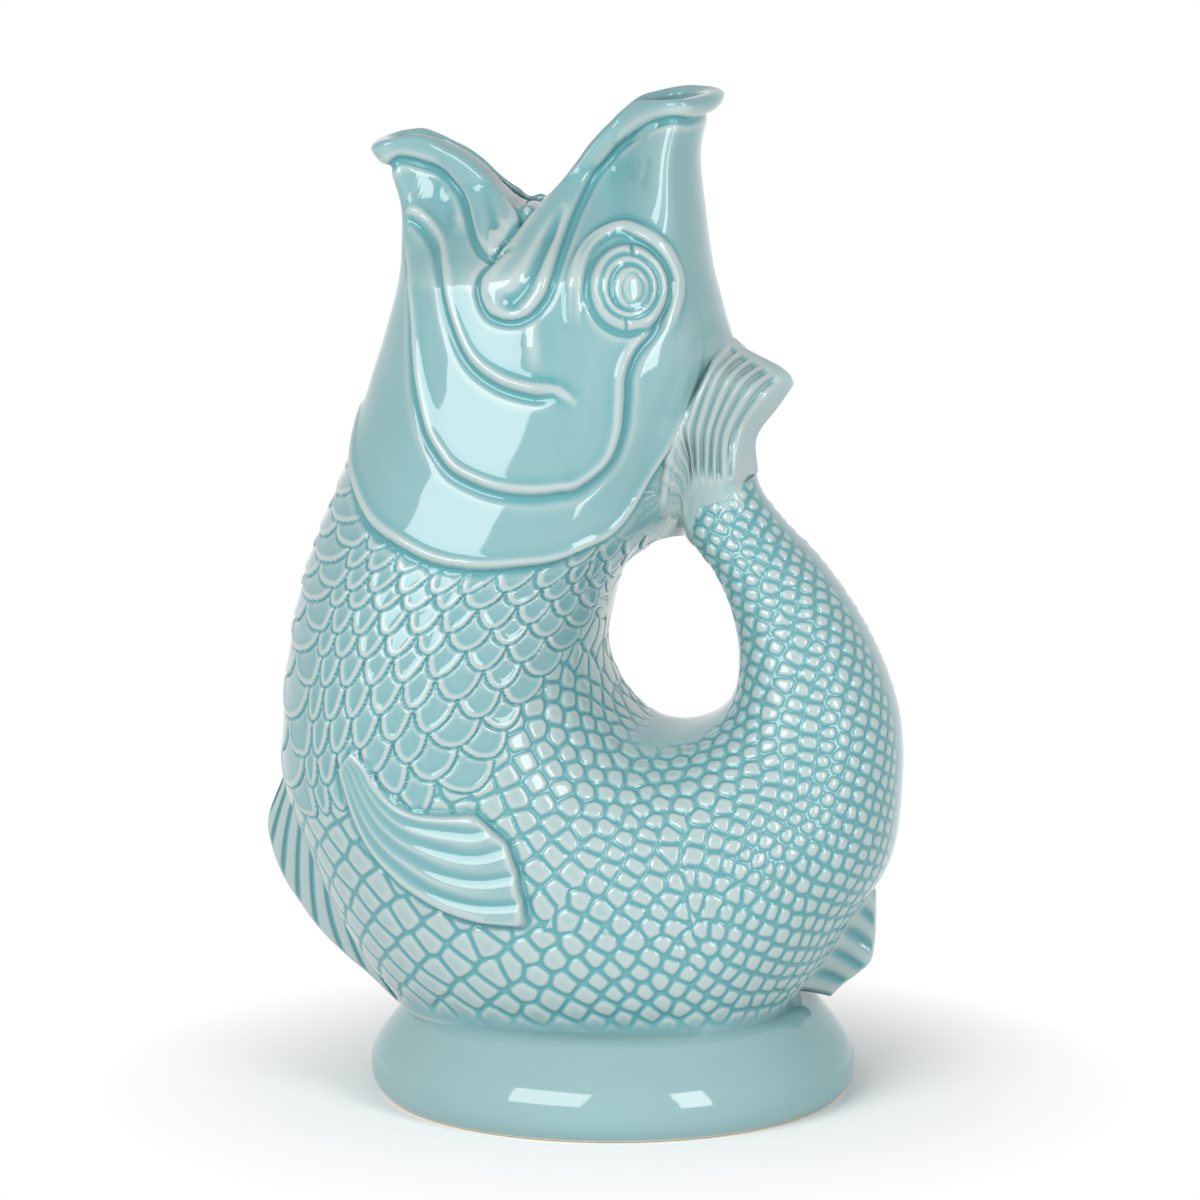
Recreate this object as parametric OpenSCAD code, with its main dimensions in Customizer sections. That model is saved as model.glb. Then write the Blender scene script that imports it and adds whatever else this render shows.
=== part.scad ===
// Gurgle jug in the shape of a leaping fish, with its tail curled round as the handle.
// X runs from the mouth side (-) to the tail side (+), Y across the body, Z up.
// The origin is the middle of the foot, on the table. The fish is hollow right into the
// tail, and the air trapped there is what makes the jug gurgle as it pours.

/* [Jug] */
// Height that the outline follows, from the table to the tip of the upper lip
jug_h = 250; // [150:1:400]
// Length that the outline follows, from the belly fin to the bend of the tail
jug_l = 160; // [110:1:240]
// Width of the body across its widest place
jug_w = 100; // [70:1:150]
// Thickness of the fired clay wall
wall = 4.5; // [3:0.1:6]
// Thickness of the floor inside the jug
floor_t = 5; // [3:0.1:9]
// How square the cross-sections are, where 2 is an ellipse
fullness = 2.3; // [2:0.1:3]

/* [Foot] */
// Diameter of the foot at its widest place
foot_d = 121; // [110:1:180]
// Height of the foot, where the body sits on it
foot_h = 24; // [14:0.5:40]
// Thickness of the foot's wall
foot_wall = 5.5; // [3:0.1:9]

/* [Mouth] */
// Length of the flap where the upper lip's rolled band ends at the corner of the mouth
upper_lip_flap = 21; // [10:0.5:26]
// Width of the rolled band round the lower lip
lower_lip_w = 5; // [3:0.5:9]
// How far the lips stand out of the head
lip_t = 2.6; // [1:0.1:4]

/* [Head] */
// How far the gill covers stand out at their free edge
gill_t = 2.4; // [1:0.1:4]
// How far the cheek plates stand out at their free edge
cheek_t = 1.8; // [1:0.1:4]
// Width of the ring round each eye
eye_d = 19.5; // [12:0.5:24]
// How far the eye ring stands out
eye_ring_t = 2; // [1:0.1:4]
// Diameter of the eyeball
eyeball_d = 11; // [7:0.5:11.5]
// How far the eyeball stands out at its middle
eyeball_t = 3; // [1:0.1:5]

/* [Fins] */
// Thickness of the side fins at their free end
side_fin_t = 4; // [2:0.1:6]
// Depth of the grooves between the rays of the fins
ray_depth = 1.2; // [0.4:0.1:1.8]
// Number of rays on each side fin
side_fin_rays = 8; // [5:1:10]
// Height of the belly fin off the body
belly_fin_h = 11; // [5:0.5:18]
// Height of the fin under the tail off the body
anal_fin_h = 9.5; // [4:0.5:14]
// Thickness of the belly fin and the fin under the tail, at the body
keel_fin_t = 6; // [3:0.1:9]
// Number of rays on the belly fin
belly_fin_rays = 8; // [4:1:10]
// Number of rays on the fin under the tail
anal_fin_rays = 5; // [3:1:7]
// Number of rays across the tail fin
tail_fin_rays = 9; // [5:1:11]

/* [Scales] */
// Depth of the step below each main row of scales
scale_depth = 0.6; // [0:0.1:1.2]
// How far the tip of a scale hangs below its sides
scale_hang = 3.1; // [0:0.1:5]

/* [Fit] */
// Gap between a curved piece and the surface that carries it
seat_gap = 0.3; // [0.1:0.05:0.6]

/* [Hidden] */
glaze = [0.50, 0.77, 0.80];
glaze_pale = [0.70, 0.87, 0.88];

// Cross-sections of the fish from the mouth to the end of the tail. Each lies in the plane
// through its outer point, its inner point and the Y axis. A row holds the outer point's X
// and Z, the inner point's X and Z and the half width, as shares of jug_l, jug_h and jug_w / 2.
section_shares = [
    [-0.359, 0.944, 0.156, 0.998, 0.52],
    [-0.328, 0.892, 0.134, 0.944, 0.59],
    [-0.325, 0.848, 0.141, 0.884, 0.63],
    [-0.331, 0.808, 0.153, 0.828, 0.67],
    [-0.356, 0.748, 0.175, 0.760, 0.73],
    [-0.381, 0.680, 0.150, 0.696, 0.79],
    [-0.408, 0.632, 0.115, 0.636, 0.83],
    [-0.444, 0.576, 0.088, 0.584, 0.88],
    [-0.475, 0.520, 0.019, 0.532, 0.92],
    [-0.498, 0.448, -0.006, 0.484, 0.97],
    [-0.509, 0.372, -0.014, 0.448, 1.00],
    [-0.506, 0.312, -0.006, 0.424, 1.00],
    [-0.475, 0.256, 0.016, 0.398, 1.00],
    [-0.413, 0.168, 0.044, 0.380, 1.00],
    [-0.325, 0.096, 0.072, 0.372, 1.00],
    [-0.188, 0.048, 0.094, 0.370, 1.00],
    [0.000, 0.032, 0.113, 0.371, 0.98],
    [0.188, 0.048, 0.134, 0.375, 0.93],
    [0.317, 0.124, 0.156, 0.382, 0.84],
    [0.378, 0.183, 0.175, 0.392, 0.75],
    [0.434, 0.240, 0.188, 0.404, 0.66],
    [0.450, 0.312, 0.197, 0.422, 0.58],
    [0.447, 0.376, 0.199, 0.448, 0.51],
    [0.422, 0.432, 0.193, 0.476, 0.44],
    [0.378, 0.488, 0.179, 0.504, 0.38],
    [0.322, 0.538, 0.159, 0.529, 0.33],
    [0.269, 0.574, 0.134, 0.549, 0.286],
    [0.231, 0.606, 0.113, 0.566, 0.25],
    [0.219, 0.632, 0.108, 0.600, 0.22]];
head_end_n = 8;
trunk_end_n = 13;
belly_end_n = 19;
tail_end_n = 28;
// Place of the cut edge of the mouth, in sections down from the top, by angle round the head
mouth_shares = [[0, 0], [45, 0.2], [58, 0.65], [67, 1.25], [73, 1.75], [79, 2.05], [86, 1.8],
    [95, 1.3], [104, 0.8], [116, 0.36], [134, 0.1], [160, 0], [180, 0]];
section_pitch = jug_h * 0.052;

ring_n = 44;
head_rows = 10;
hollow_stop_share = 0.5;
flat_angle = 45;

SECTIONS = [for (s = section_shares)
    [s[0] * jug_l, s[1] * jug_h, s[2] * jug_l, s[3] * jug_h, s[4] * jug_w / 2]];

function mix(a, b, t) = a + (b - a) * t;
function unit(v) = v / norm(v);
function power(v, e) = sign(v) * pow(abs(v), e);
function clamp(v, low, high) = min(max(v, low), high);

// Smooth curve through four rows, between the second and the third
function through(p, q, r, s, t) =
    0.5 * (2 * q + (r - p) * t + (2 * p - 5 * q + 4 * r - s) * t * t
        + (3 * q - p - 3 * r + s) * t * t * t);

// A row of a table at a place between its rows
function row_at(rows, u) =
    let (last = len(rows) - 1)
    let (i = clamp(floor(u), 0, last - 1))
    through(rows[max(i - 1, 0)], rows[i], rows[i + 1], rows[min(i + 2, last)], u - i);

function section(u) = row_at(SECTIONS, u);

// A point of the fish's surface, or of the same surface set in by the wall. The angle runs
// from the outer point (0) round the far side (90) to the inner point (180). Nothing reaches
// below the level given, where the section is cut flat.
function skin(u, angle, inset, level) =
    let (s = section(u))
    let (mid = [(s[0] + s[2]) / 2, (s[1] + s[3]) / 2])
    let (arm = [s[0], s[1]] - mid)
    let (half = arm * (norm(arm) - inset) / norm(arm))
    let (cut = half[1] < 0 ? min(1, (level - mid[1]) / half[1]) : 1)
    let (cut_angle = acos(pow(cut, fullness / 2)))
    let (turned = (angle + 720) % 360)
    let (folded = turned > 180 ? 360 - turned : turned)
    let (flat = max(cut_angle, flat_angle))
    let (turn = folded < flat_angle ? folded / flat_angle * flat
        : flat + (folded - flat_angle) / (180 - flat_angle) * (180 - flat))
    let (along = turn < cut_angle ? cut : power(cos(turn), 2 / fullness))
    let (across = turn < cut_angle ? pow(sin(cut_angle), 2 / fullness) * turn / cut_angle
        : power(sin(turn), 2 / fullness))
    let (y = (s[4] - inset) * across)
    [mid[0] + half[0] * along, turned > 180 ? -y : y, mid[1] + half[1] * along];

// Outward direction of the surface, from its neighbours
function skin_normal(u, angle) =
    let (du = skin(u + 0.05, angle, 0, foot_h) - skin(u - 0.05, angle, 0, foot_h))
    let (da = skin(u, angle + 2, 0, foot_h) - skin(u, angle - 2, 0, foot_h))
    unit(cross(da, du));

function skin_off(u, angle, off) = skin(u, angle, 0, foot_h) + skin_normal(u, angle) * off;

function around(u, inset, level) =
    [for (j = [0 : ring_n - 1]) skin(u, 360 * j / ring_n, inset, level)];

function mouth_at(angle) = lookup(angle > 180 ? 360 - angle : angle, mouth_shares);

// Which section passes through a point of the side view, by halving the interval
function side_of(p, u) =
    let (s = section(u))
    (s[0] - s[2]) * (p[1] - s[3]) - (s[1] - s[3]) * (p[0] - s[2]);

function section_through(p, low, high, n) =
    let (half = (low + high) / 2)
    n == 0 ? half
        : side_of(p, low) * side_of(p, half) <= 0 ? section_through(p, low, half, n - 1)
        : section_through(p, half, high, n - 1);

// The near side of the surface at a point of the side view
function near_side(p, low, high) =
    let (s = section(section_through(p, low, high, 16)))
    let (mid = [(s[0] + s[2]) / 2, (s[1] + s[3]) / 2])
    let (arm = [s[0], s[1]] - mid)
    let (along = clamp((p - mid) * arm / (arm * arm), -0.995, 0.995))
    [p[0], -s[4] * pow(1 - pow(abs(along), fullness), 1 / fullness), p[1]];

function near_off(p, low, high, off) =
    let (step = jug_h * 0.002)
    let (here = near_side(p, low, high))
    let (right = near_side(p + [step, 0], low, high))
    let (above = near_side(p + [0, step], low, high))
    here + unit(cross(right - here, above - here)) * off;

// Faces between loops of points that follow each other, with the last joined to the first
// or both ends closed
function loop_faces(rows, n, joined) =
    [for (i = [0 : rows - (joined ? 1 : 2)], j = [0 : n - 1], half = [0, 1])
        let (k = (j + 1) % n, m = (i + 1) % rows)
        half == 0 ? [i * n + j, m * n + k, i * n + k] : [i * n + j, m * n + j, m * n + k]];

module joined_loops(loops) {
    n = len(loops[0]);
    polyhedron([for (ring = loops) each ring], loop_faces(len(loops), n, true));
}

function middle(ring) = [for (v = ring) 1] * ring / len(ring);

module capped_loops(loops) {
    n = len(loops[0]);
    rows = len(loops);
    first = rows * n;
    caps = [for (j = [0 : n - 1], end = [0, 1])
        let (k = (j + 1) % n, base = (rows - 1) * n)
        end == 0 ? [first, j, k] : [first + 1, base + k, base + j]];
    polyhedron([each [for (ring = loops) each ring], middle(loops[0]), middle(loops[rows - 1])],
        [each loop_faces(rows, n, false), each caps]);
}

// A slab between two grids of points, with walls round its edge
module slab(low, high) {
    rows = len(low);
    n = len(low[0]);
    top = rows * n;
    sheets = [for (i = [0 : rows - 2], j = [0 : n - 2], part = [0 : 3])
        let (a = i * n + j, b = a + 1, c = a + n + 1, d = a + n)
        part == 0 ? [top + a, top + c, top + b] : part == 1 ? [top + a, top + d, top + c]
            : part == 2 ? [a, b, c] : [a, c, d]];
    edge = [each [for (j = [0 : n - 1]) j], each [for (i = [1 : rows - 1]) i * n + n - 1],
        each [for (j = [n - 2 : -1 : 0]) (rows - 1) * n + j],
        each [for (i = [rows - 2 : -1 : 1]) i * n]];
    walls = [for (i = [0 : len(edge) - 1], half = [0, 1])
        let (a = edge[i], b = edge[(i + 1) % len(edge)])
        half == 0 ? [a, top + a, top + b] : [a, top + b, b]];
    polyhedron([each [for (row = low) each row], each [for (row = high) each row]],
        [each sheets, each walls]);
}

// Head, open at the mouth and at the cut where the trunk goes on
module head_shell() {
    outer = [for (i = [0 : head_rows])
        [for (j = [0 : ring_n - 1])
            let (angle = 360 * j / ring_n)
            skin(mix(head_end_n, mouth_at(angle), i / head_rows), angle, 0, foot_h)]];
    inner = [for (i = [0 : head_rows])
        [for (j = [0 : ring_n - 1])
            let (angle = 360 * j / ring_n)
            skin(mix(mouth_at(angle), head_end_n, i / head_rows), angle, wall, foot_h)]];
    rim = [for (turn = [45, 90, 135])
        [for (j = [0 : ring_n - 1])
            let (out = outer[head_rows][j], in = inner[0][j])
            let (up = unit(out - outer[head_rows - 1][j]))
            mix(out, in, (1 - cos(turn)) / 2) + up * sin(turn) * wall / 2]];
    color(glaze) joined_loops([each outer, each rim, each inner]);
}

// A ring at the lower edge of a row of scales, whose points hang and lie back by turns
function scale_ring(u, row, inset) =
    [for (j = [0 : ring_n - 1])
        let (hang = scale_hang / section_pitch * ((j + row) % 2 - 0.5))
        skin(u + hang, 360 * j / ring_n, inset, foot_h)];

// Stretch of the hollow body between two sections. Each row of scales rises to its lower
// edge and steps in there, so none stands out of the skin that other pieces sit on.
module barrel(from, to) {
    step = scale_depth / section_pitch;
    scales = [for (u = [to - 1 : -1 : from + 1])
        each [scale_ring(u + step, u, scale_depth), scale_ring(u, u, 0)]];
    outer = [around(to, 0, foot_h), each scales, around(from, 0, foot_h)];
    inner = [for (u = [from : to]) around(u, wall, foot_h + floor_t)];
    color(glaze) joined_loops([each outer, each inner]);
}

// Trunk, from behind the gills down to the belly
module trunk_shell() {
    barrel(head_end_n, trunk_end_n);
}

// Belly, with a flat floor on the foot, round to where the tail leaves it
module belly_shell() {
    barrel(trunk_end_n, belly_end_n);
}

// Tail, hollow to just below the fin, which curls up to the back of the head as the handle
module tail_handle() {
    hollow_end = tail_end_n - 1 - hollow_stop_share;
    inner = [for (u = [hollow_end, each [tail_end_n - 2 : -1 : belly_end_n]])
        around(u, wall, foot_h + floor_t)];
    outer = [for (u = [belly_end_n : tail_end_n]) around(u, 0, foot_h)];
    color(glaze) capped_loops([each inner, each outer]);
}

// Round spreading foot, a ring open underneath, with a flat rim on the table and a flat
// ledge on top for the trunk's floor
foot_shares = [[0.94, 0], [0.975, 0.03], [1, 0.16], [0.988, 0.3], [0.957, 0.5],
    [0.917, 0.7], [0.872, 0.85], [0.83, 0.96], [0.8, 1]];
module pedestal_foot() {
    r = foot_d / 2;
    outside = [for (p = foot_shares) [p[0] * r, p[1] * foot_h]];
    inside = [[0.6 * r, foot_h], [0.6 * r, foot_h - foot_wall * 0.8],
        [0.72 * r, foot_h - foot_wall], [0.84 * r - foot_wall * 0.5, 0.6 * foot_h],
        [0.94 * r - foot_wall, 0.25 * foot_h], [0.94 * r - foot_wall, 0]];
    color(glaze) rotate_extrude($fn = 96) polygon([each outside, each inside]);
}

// Height of the grooves between rays, at a share of the way across a fin
function ray(share, count) = -abs(cos(share * count * 180));

// Broad tail fin, wrapped round the back of the head and flaring away from it. Each row
// holds the section and half angle of its hug on the head, its outer point's X and Z.
tail_fin_shares = [[5.85, 24, 0.2195, 0.650], [5.5, 30, 0.224, 0.668], [5.1, 34, 0.243, 0.688],
    [4.75, 36, 0.268, 0.706], [4.45, 35, 0.277, 0.722], [4.22, 30, 0.262, 0.735],
    [4.08, 22, 0.222, 0.746]];
fin_ring_n = 40;
module tail_fin() {
    inner_n = 12;
    outer_n = fin_ring_n - inner_n;
    start = [for (j = [0 : fin_ring_n - 1])
        let (share = j <= outer_n ? j / outer_n * 0.5 : 0.5 + (j - outer_n) / inner_n * 0.5)
        let (angle = share < 0.5 ? 130 - share * 2 * 260 : -130 - (share - 0.5) * 2 * 100)
        skin(tail_end_n, angle, 0, foot_h)];
    rows = [for (p = tail_fin_shares)
        let (left = skin_off(p[0], 180 - p[1], seat_gap))
        let (right = skin_off(p[0], 180 + p[1], seat_gap))
        let (tip = [p[2] * jug_l, 0, p[3] * jug_h])
        [for (j = [0 : fin_ring_n - 1])
            let (s = j / outer_n)
            j <= outer_n ? let (bow = sin(s * 180))
                let (groove = ray_depth * (1 + ray(s, tail_fin_rays)) * bow)
                let (base = mix(left, right, (1 - cos(s * 180)) / 2))
                let (keel = mix(left, right, 0.5))
                base + (tip - keel) * bow - [groove, 0, 0]
            : skin_off(p[0], 180 + p[1] * (1 - 2 * (j - outer_n) / inner_n), seat_gap)]];
    color(glaze_pale) capped_loops([start, each rows]);
}

// A thin fin that stands on the outer line of the body between two sections
module keel_fin(from, to, height, profile, rays) {
    steps = rays * 4;
    layers = [0, 0.35, 0.7, 1];
    function spine(s) =
        let (u = mix(from, to, s))
        let (p = section(u), q = section(u + 0.05))
        let (out = unit([p[1] - q[1], 0, q[0] - p[0]]))
        [[p[0], 0, p[1]], -out];
    function place(s, share, side) =
        let (line = spine(s))
        let (rise = seat_gap + share * height * lookup(s, profile))
        let (groove = share * ray_depth * (0.5 + 0.5 * ray(s, rays)))
        let (half = keel_fin_t / 2 * (1 - 0.5 * share) - groove * 0.6)
        line[0] + line[1] * rise + [0, side * half, 0];
    rows = [for (i = [0 : steps])
        [each [for (share = layers) place(i / steps, share, -1)],
            each [for (k = [len(layers) - 1 : -1 : 0]) place(i / steps, layers[k], 1)]]];
    color(glaze_pale) capped_loops(rows);
}

module belly_fin() {
    keel_fin(10.9, 13.85, belly_fin_h,
        [[0, 0.05], [0.12, 0.45], [0.3, 0.92], [0.5, 1], [0.7, 0.95], [0.85, 0.8], [1, 0.35]],
        belly_fin_rays);
}

module anal_fin() {
    keel_fin(19.35, 17.95, anal_fin_h,
        [[0, 0.15], [0.3, 0.55], [0.6, 0.95], [0.75, 1], [0.9, 0.8], [1, 0.45]],
        anal_fin_rays);
}

// A curve of the side view, from shares of the jug's length and height
function side_curve(shares, t) =
    let (p = row_at(shares, t * (len(shares) - 1)))
    [p[0] * jug_l, p[1] * jug_h];

// Side fin, swept back and down from its narrow root behind the gill
side_fin_low_shares = [[-0.406, 0.372], [-0.397, 0.324], [-0.378, 0.280], [-0.338, 0.248],
    [-0.288, 0.228], [-0.231, 0.217], [-0.163, 0.210], [-0.103, 0.212]];
side_fin_top_shares = [[-0.400, 0.384], [-0.372, 0.366], [-0.350, 0.350], [-0.328, 0.332],
    [-0.300, 0.321], [-0.263, 0.317], [-0.219, 0.318], [-0.180, 0.318]];
module side_fin_left() {
    steps = side_fin_rays * 4;
    function place(r, s, top) =
        let (p = mix(side_curve(side_fin_low_shares, r), side_curve(side_fin_top_shares, r), s))
        let (rays = min(1, r * 3) * ray_depth * (1 + ray(s, side_fin_rays)))
        let (thick = mix(0.3, 1, r) * side_fin_t - rays)
        near_off(p, head_end_n, belly_end_n - 2, seat_gap + (top ? thick : 0));
    rows = [for (i = [0 : 6]) i / 6];
    low = [for (r = rows) [for (j = [0 : steps]) place(r, j / steps, false)]];
    high = [for (r = rows) [for (j = [0 : steps]) place(r, j / steps, true)]];
    color(glaze_pale) slab(low, high);
}

module side_fin_right() {
    mirror([0, 1, 0]) side_fin_left();
}

// Gill cover, from the line behind the cheek down to its free edge over the scales
gill_edge_shares = [[-0.366, 0.680], [-0.358, 0.640], [-0.338, 0.612], [-0.306, 0.590],
    [-0.269, 0.574], [-0.225, 0.562], [-0.175, 0.556], [-0.125, 0.557], [-0.075, 0.565],
    [-0.031, 0.576], [0.006, 0.590], [0.038, 0.609], [0.059, 0.628], [0.076, 0.656]];
cheek_edge_shares = [[-0.294, 0.744], [-0.284, 0.722], [-0.270, 0.700], [-0.250, 0.680],
    [-0.222, 0.660], [-0.188, 0.644], [-0.150, 0.633], [-0.108, 0.627], [-0.070, 0.630],
    [-0.035, 0.638], [-0.006, 0.648], [0.016, 0.660], [0.034, 0.676], [0.046, 0.700]];
plate_steps = 22;
plate_rows = 5;
module gill_cover_left() {
    function place(r, s, top) =
        let (p = mix(side_curve(cheek_edge_shares, s), side_curve(gill_edge_shares, s), r))
        near_off(p, 1, head_end_n, seat_gap + (top ? mix(0.35, 1, r * r) * gill_t : 0));
    rows = [for (i = [0 : plate_rows]) i / plate_rows];
    low = [for (r = rows) [for (j = [0 : plate_steps]) place(r, j / plate_steps, false)]];
    high = [for (r = rows) [for (j = [0 : plate_steps]) place(r, j / plate_steps, true)]];
    color(glaze) slab(low, high);
}

module gill_cover_right() {
    mirror([0, 1, 0]) gill_cover_left();
}

// Cheek plate, inside the gill cover's line and under the eye
cheek_middle_shares = [-0.115, 0.760];
module cheek_plate_left() {
    heart = [cheek_middle_shares[0] * jug_l, cheek_middle_shares[1] * jug_h];
    function place(r, s, top) =
        let (p = mix(heart, side_curve(cheek_edge_shares, s), r))
        near_off(p, 1, head_end_n, seat_gap + (top ? mix(0.4, 1, r * r) * cheek_t : 0));
    rows = [for (i = [0 : plate_rows]) mix(0.55, 0.97, i / plate_rows)];
    low = [for (r = rows) [for (j = [0 : plate_steps]) place(r, j / plate_steps, false)]];
    high = [for (r = rows) [for (j = [0 : plate_steps]) place(r, j / plate_steps, true)]];
    color(glaze) slab(low, high);
}

module cheek_plate_right() {
    mirror([0, 1, 0]) cheek_plate_left();
}

// Eye, a rolled ring with the domed eyeball inside it
eye_middle_shares = [0.053, 0.829];
eye_tall_share = 1.08;
eye_n = 20;
function eye_place(radius, angle, off) =
    let (mid = [eye_middle_shares[0] * jug_l, eye_middle_shares[1] * jug_h])
    near_off(mid + radius * [cos(angle), eye_tall_share * sin(angle)], 1, head_end_n, off);

module eye_ring_left() {
    outer_r = eye_d / 2;
    inner_r = eyeball_d / 2 + 2 * seat_gap;
    function ring(share, off) =
        [for (j = [0 : eye_n - 1])
            eye_place(mix(inner_r, outer_r, share), 360 * j / eye_n, seat_gap + off)];
    color(glaze_pale) joined_loops([ring(0, 0), ring(1, 0), ring(1, eye_ring_t * 0.4),
        ring(0.75, eye_ring_t), ring(0.35, eye_ring_t), ring(0, eye_ring_t * 0.5)]);
}

module eye_ring_right() {
    mirror([0, 1, 0]) eye_ring_left();
}

module eyeball_left() {
    r = eyeball_d / 2;
    function ring(share, off) =
        [for (j = [0 : eye_n - 1]) eye_place(r * share, 360 * j / eye_n, seat_gap + off)];
    color(glaze_pale) capped_loops([ring(0.05, 0), ring(1, 0), ring(1, eyeball_t * 0.2),
        ring(0.85, eyeball_t * 0.6), ring(0.5, eyeball_t * 0.9), ring(0.05, eyeball_t)]);
}

module eyeball_right() {
    mirror([0, 1, 0]) eyeball_left();
}

// Width of each lip's band by angle round the head, as a share of its widest
upper_lip_shares = [[78, 0.55], [83, 0.85], [90, 1], [96, 1], [104, 0.85], [110, 0.55],
    [116, 0.32], [134, 0.2], [180, 0.15]];
lower_lip_shares = [[0, 0.8], [40, 1], [66, 1.3], [74, 0.8]];

// Rolled band outside the cut edge of the mouth, between two angles round the head
module lip(from, to, width, swell, steps) {
    function place(i, share, off) =
        let (angle = mix(from, to, i / steps))
        let (turn = (angle + 360) % 360)
        let (reach = width * lookup(turn > 180 ? 360 - turn : turn, swell) / section_pitch)
        skin_off(mouth_at(turn) + 0.02 + share * reach, turn, seat_gap + off);
    low = [for (i = [0 : steps])
        [for (k = [0 : 4]) place(i, k / 4, 0)]];
    high = [for (i = [0 : steps])
        [for (k = [0 : 4]) place(i, k / 4, lip_t * (0.35 + 0.65 * sin(k * 45)))]];
    color(glaze_pale) slab(high_first(low), high_first(high));
}

function high_first(grid) = [for (i = [len(grid) - 1 : -1 : 0]) grid[i]];

module upper_lip() {
    start_angle = upper_lip_shares[0][0];
    lip(start_angle, 360 - start_angle, upper_lip_flap, upper_lip_shares, 40);
}

module lower_lip() {
    end_angle = lower_lip_shares[len(lower_lip_shares) - 1][0];
    lip(-end_angle, end_angle, lower_lip_w, lower_lip_shares, 28);
}

head_shell();
trunk_shell();
belly_shell();
tail_handle();
pedestal_foot();
tail_fin();
belly_fin();
anal_fin();
side_fin_left();
side_fin_right();
gill_cover_left();
gill_cover_right();
cheek_plate_left();
cheek_plate_right();
eye_ring_left();
eye_ring_right();
eyeball_left();
eyeball_right();
upper_lip();
lower_lip();
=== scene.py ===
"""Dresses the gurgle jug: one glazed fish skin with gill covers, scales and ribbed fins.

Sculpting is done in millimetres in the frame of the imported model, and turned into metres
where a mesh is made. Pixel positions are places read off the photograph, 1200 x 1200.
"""
import math

import bpy
import numpy as np
from bpy.props import FloatProperty, FloatVectorProperty, IntProperty, PointerProperty
from mathutils import Matrix, Vector


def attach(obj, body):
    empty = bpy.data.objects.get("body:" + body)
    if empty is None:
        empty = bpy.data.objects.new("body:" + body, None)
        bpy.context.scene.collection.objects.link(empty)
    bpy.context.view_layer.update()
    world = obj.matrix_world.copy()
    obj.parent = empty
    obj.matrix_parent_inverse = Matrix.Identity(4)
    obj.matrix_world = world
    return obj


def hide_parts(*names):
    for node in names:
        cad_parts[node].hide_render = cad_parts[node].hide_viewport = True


bl_info = {
    "name": "Gurgle jug",
    "version": (1, 0, 0),
    "blender": (4, 5, 0),
    "location": "3D View > Sidebar > Jug",
    "description": "Builds the glazed skin, fins and foot of a fish-shaped gurgle jug",
    "category": "Object",
}

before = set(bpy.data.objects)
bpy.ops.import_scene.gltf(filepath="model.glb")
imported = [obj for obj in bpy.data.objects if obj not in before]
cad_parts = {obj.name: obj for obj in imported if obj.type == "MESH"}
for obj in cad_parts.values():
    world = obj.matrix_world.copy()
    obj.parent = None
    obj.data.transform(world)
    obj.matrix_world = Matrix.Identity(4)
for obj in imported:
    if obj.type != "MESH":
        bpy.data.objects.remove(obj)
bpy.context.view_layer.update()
MM = 0.001


# Colours and sizes that a user would change

def srgb(hex_text):
    """Linear colour from an sRGB hex value."""
    parts = [int(hex_text[i:i + 2], 16) / 255 for i in (1, 3, 5)]
    return [v / 12.92 if v <= 0.04045 else ((v + 0.055) / 1.055) ** 2.4 for v in parts]


def length(name, about, millimetres, low, high):
    return FloatProperty(name=name, description=about, default=millimetres * MM,
                         min=low * MM, max=high * MM, unit="LENGTH", subtype="DISTANCE", precision=4)


def colour(name, about, hex_text):
    return FloatVectorProperty(name=name, description=about, default=srgb(hex_text), size=3,
                               min=0, max=1, subtype="COLOR")


class GlazeSettings(bpy.types.PropertyGroup):
    thin: colour("Thin glaze", "Colour where the glaze breaks over raised edges", "#A4B5B4")
    even: colour("Even glaze", "Colour on smooth ground", "#7BA2A5")
    pooled: colour("Pooled glaze", "Colour where the glaze gathers in grooves", "#539398")


class SkinSettings(bpy.types.PropertyGroup):
    cell: length("Skin cell", "Spacing of the points of the scaled skin", 0.45, 0.3, 3)
    head_cell: length("Head cell", "Spacing of the points of the head", 0.5, 0.3, 3)
    wall: length("Wall", "Thickness of the clay", 4.5, 3, 6)


class ScaleSettings(bpy.types.PropertyGroup):
    groove_depth: length("Groove depth", "Depth of the carved line round a scale", 0.5, 0, 1)
    groove_width: length("Groove width", "Half width of the carved line", 0.42, 0.2, 1)
    dome: length("Dome", "How far a scale swells from its edge to its middle", 0.18, 0, 1)
    seed: IntProperty(name="Seed", description="Layout of the small scales", default=7, min=0)


class HeadSettings(bpy.types.PropertyGroup):
    gill_step: length("Gill step", "How far the gill cover stands off the scales", 1.9, 0, 4)
    cheek_step: length("Cheek step", "How far the inner plate stands off the gill cover", 1.5, 0, 4)
    lip_step: length("Lip step", "How far the rolled lips stand out", 2.3, 0, 4)


class FinSettings(bpy.types.PropertyGroup):
    side_fin: length("Side fin", "How far the side fin stands out at its end", 3.4, 0, 6)
    ray_depth: length("Ray depth", "Depth of the grooves between rays", 0.8, 0, 2)
    belly_fin: length("Belly fin", "Height of the belly fin off the body", 8.5, 0, 12)
    anal_fin: length("Anal fin", "Height of the fin under the tail", 7.5, 0, 12)


class StageSettings(bpy.types.PropertyGroup):
    floor: colour("Floor", "Colour of the studio floor", "#FFFFFF")
    lamp_power: FloatProperty(name="Lamp power", description="Strength of each softbox in watts",
                              default=16, min=0, soft_max=200, subtype="POWER")


def settings():
    return bpy.context.scene.jug


# The fish as numbers: the cross-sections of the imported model. The mouth's corners are drawn in
# further on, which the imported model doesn't have

LENGTH, HEIGHT, WIDTH = 160.0, 250.0, 100.0
FULLNESS = 2.3
FOOT_R, FOOT_H = 60.5, 24.0
FLAT_ANGLE = 45.0
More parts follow.
